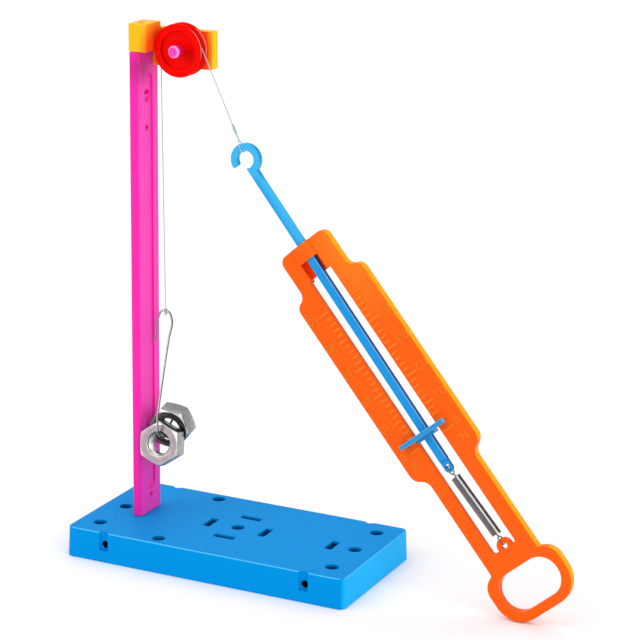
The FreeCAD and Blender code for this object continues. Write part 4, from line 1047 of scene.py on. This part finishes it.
# From the ring's centre to the loop's knot, and how far above that knot and the wire the runs end (mm).
LOOP_KNOT, ABOVE_KNOT, ABOVE_WIRE = 15.2, 2.3, 1.35
# The string's way over the wheel (degrees from its top), and what it clears the groove's floor by.
WRAP, STRING_PLAY = (-90.83, 63.0), 0.03 * MM


def groove_radius(context):
    wheel, string = context.scene.demo_wheel, context.scene.demo_string
    return wheel.radius - wheel.groove + string.radius + STRING_PLAY


def leaves_wheel(context, direction, side):
    """Where the string leaves the wheel on its straight way in direction."""
    square = Vector((-direction.z, 0, direction.x)).normalized() * side
    return WHEEL_CENTRE + square * groove_radius(context)


class DEMO_OT_string_runs(bpy.types.Operator):
    """Lay the string's two straight runs and its turn over the wheel"""
    bl_idname = "demo.string_runs"
    bl_label = "String over the wheel"

    def execute(self, context):
        size = context.scene.demo_string
        off_weight = leaves_wheel(context, TO_WEIGHT, -1)
        off_scale = leaves_wheel(context, TO_SCALE, 1)
        self.run(size, "String_To_Weight", off_weight, WIRE_TOP - TO_WEIGHT * ABOVE_WIRE * MM, "weight_line",
                 "string_weight_run")
        knot = RING_CENTRE - TO_SCALE * (LOOP_KNOT + ABOVE_KNOT) * MM
        self.run(size, "String_To_Scale", off_scale, knot, "scale_line", "string_scale_run")
        radius = groove_radius(context)
        rope = laid_string("String_In_Groove", radius * radians(WRAP[1] - WRAP[0]), size)
        lay_along(rope, arc(WHEEL_CENTRE, UP, RIGHT, radius, *WRAP, 15))
        string_piece(rope, "frame", "string_groove_wrap")
        return {"FINISHED"}

    @staticmethod
    def run(size, name, start, end, body, node):
        """One taut run, straight from start to end."""
        line = end - start
        rope = laid_string(name, line.length, size)
        settle(rope, along(start, line.normalized()))
        paint(rope, white_string())
        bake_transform(rope)
        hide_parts(node)


class DEMO_OT_string_ties(bpy.types.Operator):
    """Tie the eye at the wire hook and the knotted loop at the scale's ring"""
    bl_idname = "demo.string_ties"
    bl_label = "Knots and loops"

    def execute(self, context):
        size = context.scene.demo_string
        self.tie_eye(size)
        self.tie_loop(size)
        return {"FINISHED"}

    @staticmethod
    def knot(size, name, turns, radius, height):
        """A stack of tight turns round the string, as a tied knot shows."""
        thick = 0.8 * size.radius
        coil = circle(name, 10, thick, (radius - thick, 0, thick - height / 2))
        sweep(coil, (height - 2 * thick) / turns, turns, 20)
        smooth(coil, 50)
        return coil

    def tie_eye(self, size):
        """Two turns round the wire and a small knot under it."""
        wire, ring = 0.52 * MM, 0.9 * MM
        lift = ring - size.radius - wire - 0.08 * MM
        centre = WIRE_TOP + UP * lift
        pieces = []
        for shift in (-0.22, 0.24):
            rope = laid_string("String_Eye_Turn", 2 * pi * ring, size)
            lean = Vector((shift * 0.5, 0, 1)).normalized()
            lay_along(rope, arc(centre + RIGHT * shift * MM, BACK, lean, ring, 0, 324, 10), closed=True)
            pieces.append(rope)
        foot = centre - UP * ring
        for name, turns, radius, height, drop, way in (("Knot", 3, 0.72, 1.5, 0.62, (0.25, 0.1, 1)),
                                                       ("Core", 2, 0.46, 1.3, 0.7, (0.9, 0.3, 0.3))):
            knot = self.knot(size, f"String_Eye_{name}", turns, radius * MM, height * MM)
            settle(knot, along(foot - UP * drop * MM, Vector(way).normalized()))
            pieces.append(knot)
        low = foot - UP * 0.9 * MM
        tail = [low, low + Vector((0.5, -0.3, -0.25)) * MM, low + Vector((0.9, -0.6, -0.1)) * MM]
        end = laid_string("String_Eye_Tail", 1.2 * MM, size)
        lay_along(end, tail)
        string_piece(join(*pieces, end), "weight_line", "string_weight_knot")

    def tie_loop(self, size):
        """The loop round the ring, its two legs twisted up into the knot."""
        up = -TO_SCALE
        side = (FACE_OUT - up * FACE_OUT.dot(up)).normalized()
        bulge, inner, neck = 1.86, 3.72, 13.6
        leg = [(inner + 0.02, 1.1), (inner + 0.45, bulge - 0.08), (inner + 1.6, bulge),
               (inner + 3.2, bulge - 0.08), (8.3, 1.2), (9.4, 0.4), (11.4, 0.24), (neck, 0.2)]
        outline = [(inner, 0.0)] + [(a, -b) for a, b in leg] + leg[::-1]
        points = [RING_CENTRE + (up * a + side * b) * MM for a, b in outline]
        rope = laid_string("String_Ring_Loop", 23 * MM, size)
        lay_along(rope, points, closed=True)
        at = RING_CENTRE + up * LOOP_KNOT * MM
        knot = self.knot(size, "String_Loop_Knot", 5, 0.74 * MM, 3.0 * MM)
        settle(knot, along(at - up * 0.7 * MM, (up + side * 0.05).normalized()))
        core = laid_string("String_Loop_Core", 5 * MM, size, radius=0.42 * MM)
        settle(core, along(at - up * 2.5 * MM, up))
        hitch = self.knot(size, "String_Loop_Hitch", 2, 0.62 * MM, 1.2 * MM)
        settle(hitch, along(at + up * 1.8 * MM, (up + side * 0.4).normalized()))
        ahead = up.cross(side)
        tail = [at + (ahead * a + up * b + side * c) * MM for a, b, c in (
            (0, -0.4, 0), (0.66, 0.2, 0.2), (0.72, 1.0, 0.35), (0.5, 1.9, 0.5))]
        end = laid_string("String_Loop_Tail", 2.6 * MM, size)
        lay_along(end, tail)
        string_piece(join(rope, knot, core, hitch, end), "scale_line", "string_scale_loop")


# ---------------------------------------------------------------- tension spring
# Down the rod (mm): the tongue's hole, the coil's ends and the centres of the spring's eyes.
TONGUE_HOLE, COIL_ENDS, EYE_CENTRES = 173.0, (175.7, 208.4), (172.2, 211.5)
# Down, across and out of the housing (mm).
LUG_HOLE = (214.5, 0, 0.7)


class DEMO_OT_spring(bpy.types.Operator):
    """Wind the tension spring and bend its two eyes"""
    bl_idname = "demo.spring"
    bl_label = "Tension spring"

    def execute(self, context):
        size = context.scene.demo_spring
        start = rod_point(TONGUE_HOLE)
        line = (body_point(*LUG_HOLE) - start).normalized()
        side = FACE_OUT.cross(line).normalized()
        first, last = ((place - TONGUE_HOLE) * MM for place in COIL_ENDS)
        upper, lower = ((place - TONGUE_HOLE) * MM for place in EYE_CENTRES)
        centre = size.radius - size.wire
        coil = circle("Tension_Spring", 8, size.wire, (centre, 0, first + size.wire))
        sweep(coil, (last - first - 2 * size.wire) / size.turns, size.turns, 28)
        eyes = [self.eye(size, centre, first + size.wire, upper, 1),
                self.eye(size, centre, last - size.wire, lower, -1)]
        spring = join(coil, *eyes)
        smooth(spring, 50)
        settle(spring, frame_matrix(start, side, line.cross(side), line))
        self.note_across(spring, start, line, side, first, last)
        paint(spring, steel_of_spring())
        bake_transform(spring)
        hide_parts("tension_spring")
        return {"FINISHED"}

    @staticmethod
    def note_across(spring, start, line, side, first, last):
        """Keeps on each point of the coil how far right of the axis it is (mm), and 0 on the eyes."""
        across = spring.data.attributes.new("across", "FLOAT", "POINT")
        for index, vertex in enumerate(spring.data.vertices):
            way = vertex.co - start
            if first < way.dot(line) < last:
                across.data[index].value = way.dot(side) / MM

    @staticmethod
    def eye(size, centre, end, middle_of, side):
        """The last turn, bent in to the axis and on round an eye that stands square to the face."""
        ring = 2.15 * MM
        reach = middle_of + side * ring
        points = arc(UP * end, RIGHT, BACK, centre, 0, -70 * side, 4)
        points += [UP * (end - side * 0.1 * MM) + RIGHT * 0.5 * MM - BACK * side * 1.3 * MM,
                   UP * (end * 0.6 + reach * 0.4) - BACK * side * 0.25 * MM, UP * reach]
        points += arc(UP * middle_of, UP * side, BACK, ring, 25, 345, 11)
        return to_mesh(bezier_path("Tension_Spring_Eye", points, 6, radius=size.wire))


# ---------------------------------------------------------------- numbers on the scale
# Down and across the housing (mm): the zero mark, ten gram-force, the numbers' middles and the unit signs.
ZERO_MARK, TEN_GRAMS, NUMBER_SIDE, UNIT_DOWN, UNIT_SIDE = 155.7, 15.12, 17.0, 162.3, 15.0


class DEMO_OT_numbers(bpy.types.Operator):
    """Raise the numbers and the two unit signs beside the graduations"""
    bl_idname = "demo.numbers"
    bl_label = "Numbers"

    def execute(self, context):
        size = context.scene.demo_numbers
        pieces = []
        for index in range(6):
            down = ZERO_MARK - index * TEN_GRAMS - 1.0
            shift = 0.0 if index else -0.6
            newtons = f"0.{index}" if index else "0"
            for text, side in ((str(10 * index), -NUMBER_SIDE), (newtons, NUMBER_SIDE)):
                pieces.append(self.number(size, text, down, side + shift))
        pieces.append(self.number(size, "gf", UNIT_DOWN, -UNIT_SIDE))
        pieces.append(self.number(size, "N", UNIT_DOWN, UNIT_SIDE))
        numbers = join(*pieces)
        numbers.name = numbers.data.name = "Scale_Numbers"
        smooth(numbers, 40)
        paint(numbers, scale_orange())
        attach(numbers, "scale_body")
        return {"FINISHED"}

    @staticmethod
    def number(size, text, down, across):
        unselected()
        bpy.ops.object.text_add()
        words = bpy.context.object
        for key, value in {"body": text, "size": size.height, "align_x": "CENTER", "align_y": "CENTER",
                           "offset": -0.10 * MM, "extrude": size.proud / 2, "bevel_depth": 0.07 * MM,
                           "bevel_resolution": 1, "resolution_u": 6}.items():
            setattr(words.data, key, value)
        words = to_mesh(words)
        place = body_point(down, across, FACE_LEVEL + size.proud / 2 / MM - 0.05)
        settle(words, frame_matrix(place, -BODY_ACROSS, BODY_DOWN, FACE_OUT))
        return words


# ---------------------------------------------------------------- stage
CAMERA_AIM, LIGHT_AIM = Vector((0.043, 0, 0.1261)), Vector((0.03, 0, 0.12))
# All in metres: the floor's side, how far it lies under the base, and the nearest that the camera sees.
FLOOR_SIDE, FLOOR_DROP, NEAREST = 16, 0.0002, 0.01
SENSOR_MM = 36.0
# Of each soft light: its place, which of the stage's strengths it takes and its width (degrees).
LIGHTS = {"Key_Light": ((-0.75, -1.15, 1.15), "key", 50), "Side_Light": ((1.15, -0.80, 0.90), "side", 50),
          "Top_Light": ((0.1, 0.4, 1.6), "top", 60)}


class DEMO_OT_stage(bpy.types.Operator):
    """Set the pale floor, the soft lights and the camera"""
    bl_idname = "demo.stage"
    bl_label = "Stage"

    def execute(self, context):
        look = context.scene.demo_stage
        self.lay_floor(look)
        self.set_lights(context, look)
        self.set_camera(context, look)
        return {"FINISHED"}

    @staticmethod
    def lay_floor(look):
        unselected()
        bpy.ops.mesh.primitive_plane_add(size=FLOOR_SIDE, location=(0, 0, -FLOOR_DROP))
        floor = added("Studio_Floor")
        material, board, shader, coords = new_finish("studio_paper")
        cloud = board.noise(coords, 0.4)
        colour = board.mix(board.ramp(cloud, 0.3, 0.7), solid(look.floor), solid(look.floor, 0.985))
        wire_up(board, shader, colour, board.ramp(cloud, 0.3, 0.7, 0.6, 0.7), cloud, 0.02, 0.5 * MM)
        shader.inputs["Specular IOR Level"].default_value = 0.1
        paint(floor, material)

    @staticmethod
    def set_lights(context, look):
        world = context.scene.world or bpy.data.worlds.new("Studio")
        context.scene.world = world
        world.use_nodes = True
        sky = world.node_tree.nodes["Background"]
        sky.inputs["Color"].default_value = (1, 1, 1, 1)
        sky.inputs["Strength"].default_value = look.sky
        context.scene.view_settings.view_transform = "Standard"
        for name, (place, setting, width) in LIGHTS.items():
            bpy.ops.object.light_add(type="SUN", location=place)
            lamp = bpy.context.object
            lamp.name = name
            lamp.data.energy = getattr(look, setting)
            lamp.data.angle = radians(width)
            lamp.rotation_euler = (LIGHT_AIM - Vector(place)).to_track_quat("-Z", "Y").to_euler()

    @staticmethod
    def set_camera(context, look):
        a, e = look.azimuth, look.elevation
        back = Vector((sin(a) * cos(e), -cos(a) * cos(e), sin(e)))
        place = CAMERA_AIM + back * look.distance
        bpy.ops.object.camera_add(location=place)
        camera = bpy.context.object
        camera.name = "Camera"
        turn = (Matrix.Rotation(a, 4, "Z") @ Matrix.Rotation(pi / 2 - e, 4, "X")
                @ Matrix.Rotation(look.roll, 4, "Z"))
        camera.matrix_world = Matrix.Translation(place) @ turn
        camera.data.sensor_width = SENSOR_MM
        camera.data.lens = look.lens
        camera.data.clip_start = NEAREST
        context.scene.camera = camera


class DEMO_PT_panel(bpy.types.Panel):
    """Sizes, colours and steps of the pulley demonstrator"""
    bl_idname = "DEMO_PT_panel"
    bl_label = "Pulley demonstrator"
    bl_space_type = "VIEW_3D"
    bl_region_type = "UI"
    bl_category = "Pulley"

    def draw(self, context):
        for step in STEPS:
            self.layout.operator(step.bl_idname)
        for label, _ in GROUPS:
            box = self.layout.box()
            group = getattr(context.scene, label)
            for name in group.__annotations__:
                box.prop(group, name)


GROUPS = [("demo_colours", DemoColours), ("demo_wheel", WheelSizes), ("demo_nuts", NutSizes),
          ("demo_string", StringSizes), ("demo_spring", SpringSizes), ("demo_numbers", NumberSizes),
          ("demo_stage", StageLook)]
STEPS = [DEMO_OT_mouldings, DEMO_OT_wheel, DEMO_OT_nuts, DEMO_OT_string_runs, DEMO_OT_string_ties,
         DEMO_OT_spring, DEMO_OT_numbers, DEMO_OT_stage]


def register():
    for label, group in GROUPS:
        bpy.utils.register_class(group)
        setattr(bpy.types.Scene, label, PointerProperty(type=group))
    for step in STEPS + [DEMO_PT_panel]:
        bpy.utils.register_class(step)


def unregister():
    for step in [DEMO_PT_panel] + STEPS[::-1]:
        bpy.utils.unregister_class(step)
    for label, group in reversed(GROUPS):
        delattr(bpy.types.Scene, label)
        bpy.utils.unregister_class(group)


def main():
    register()
    unselected()
    for step in STEPS:
        family, name = step.bl_idname.split(".")
        getattr(getattr(bpy.ops, family), name)()


if __name__ == "__main__":
    main()
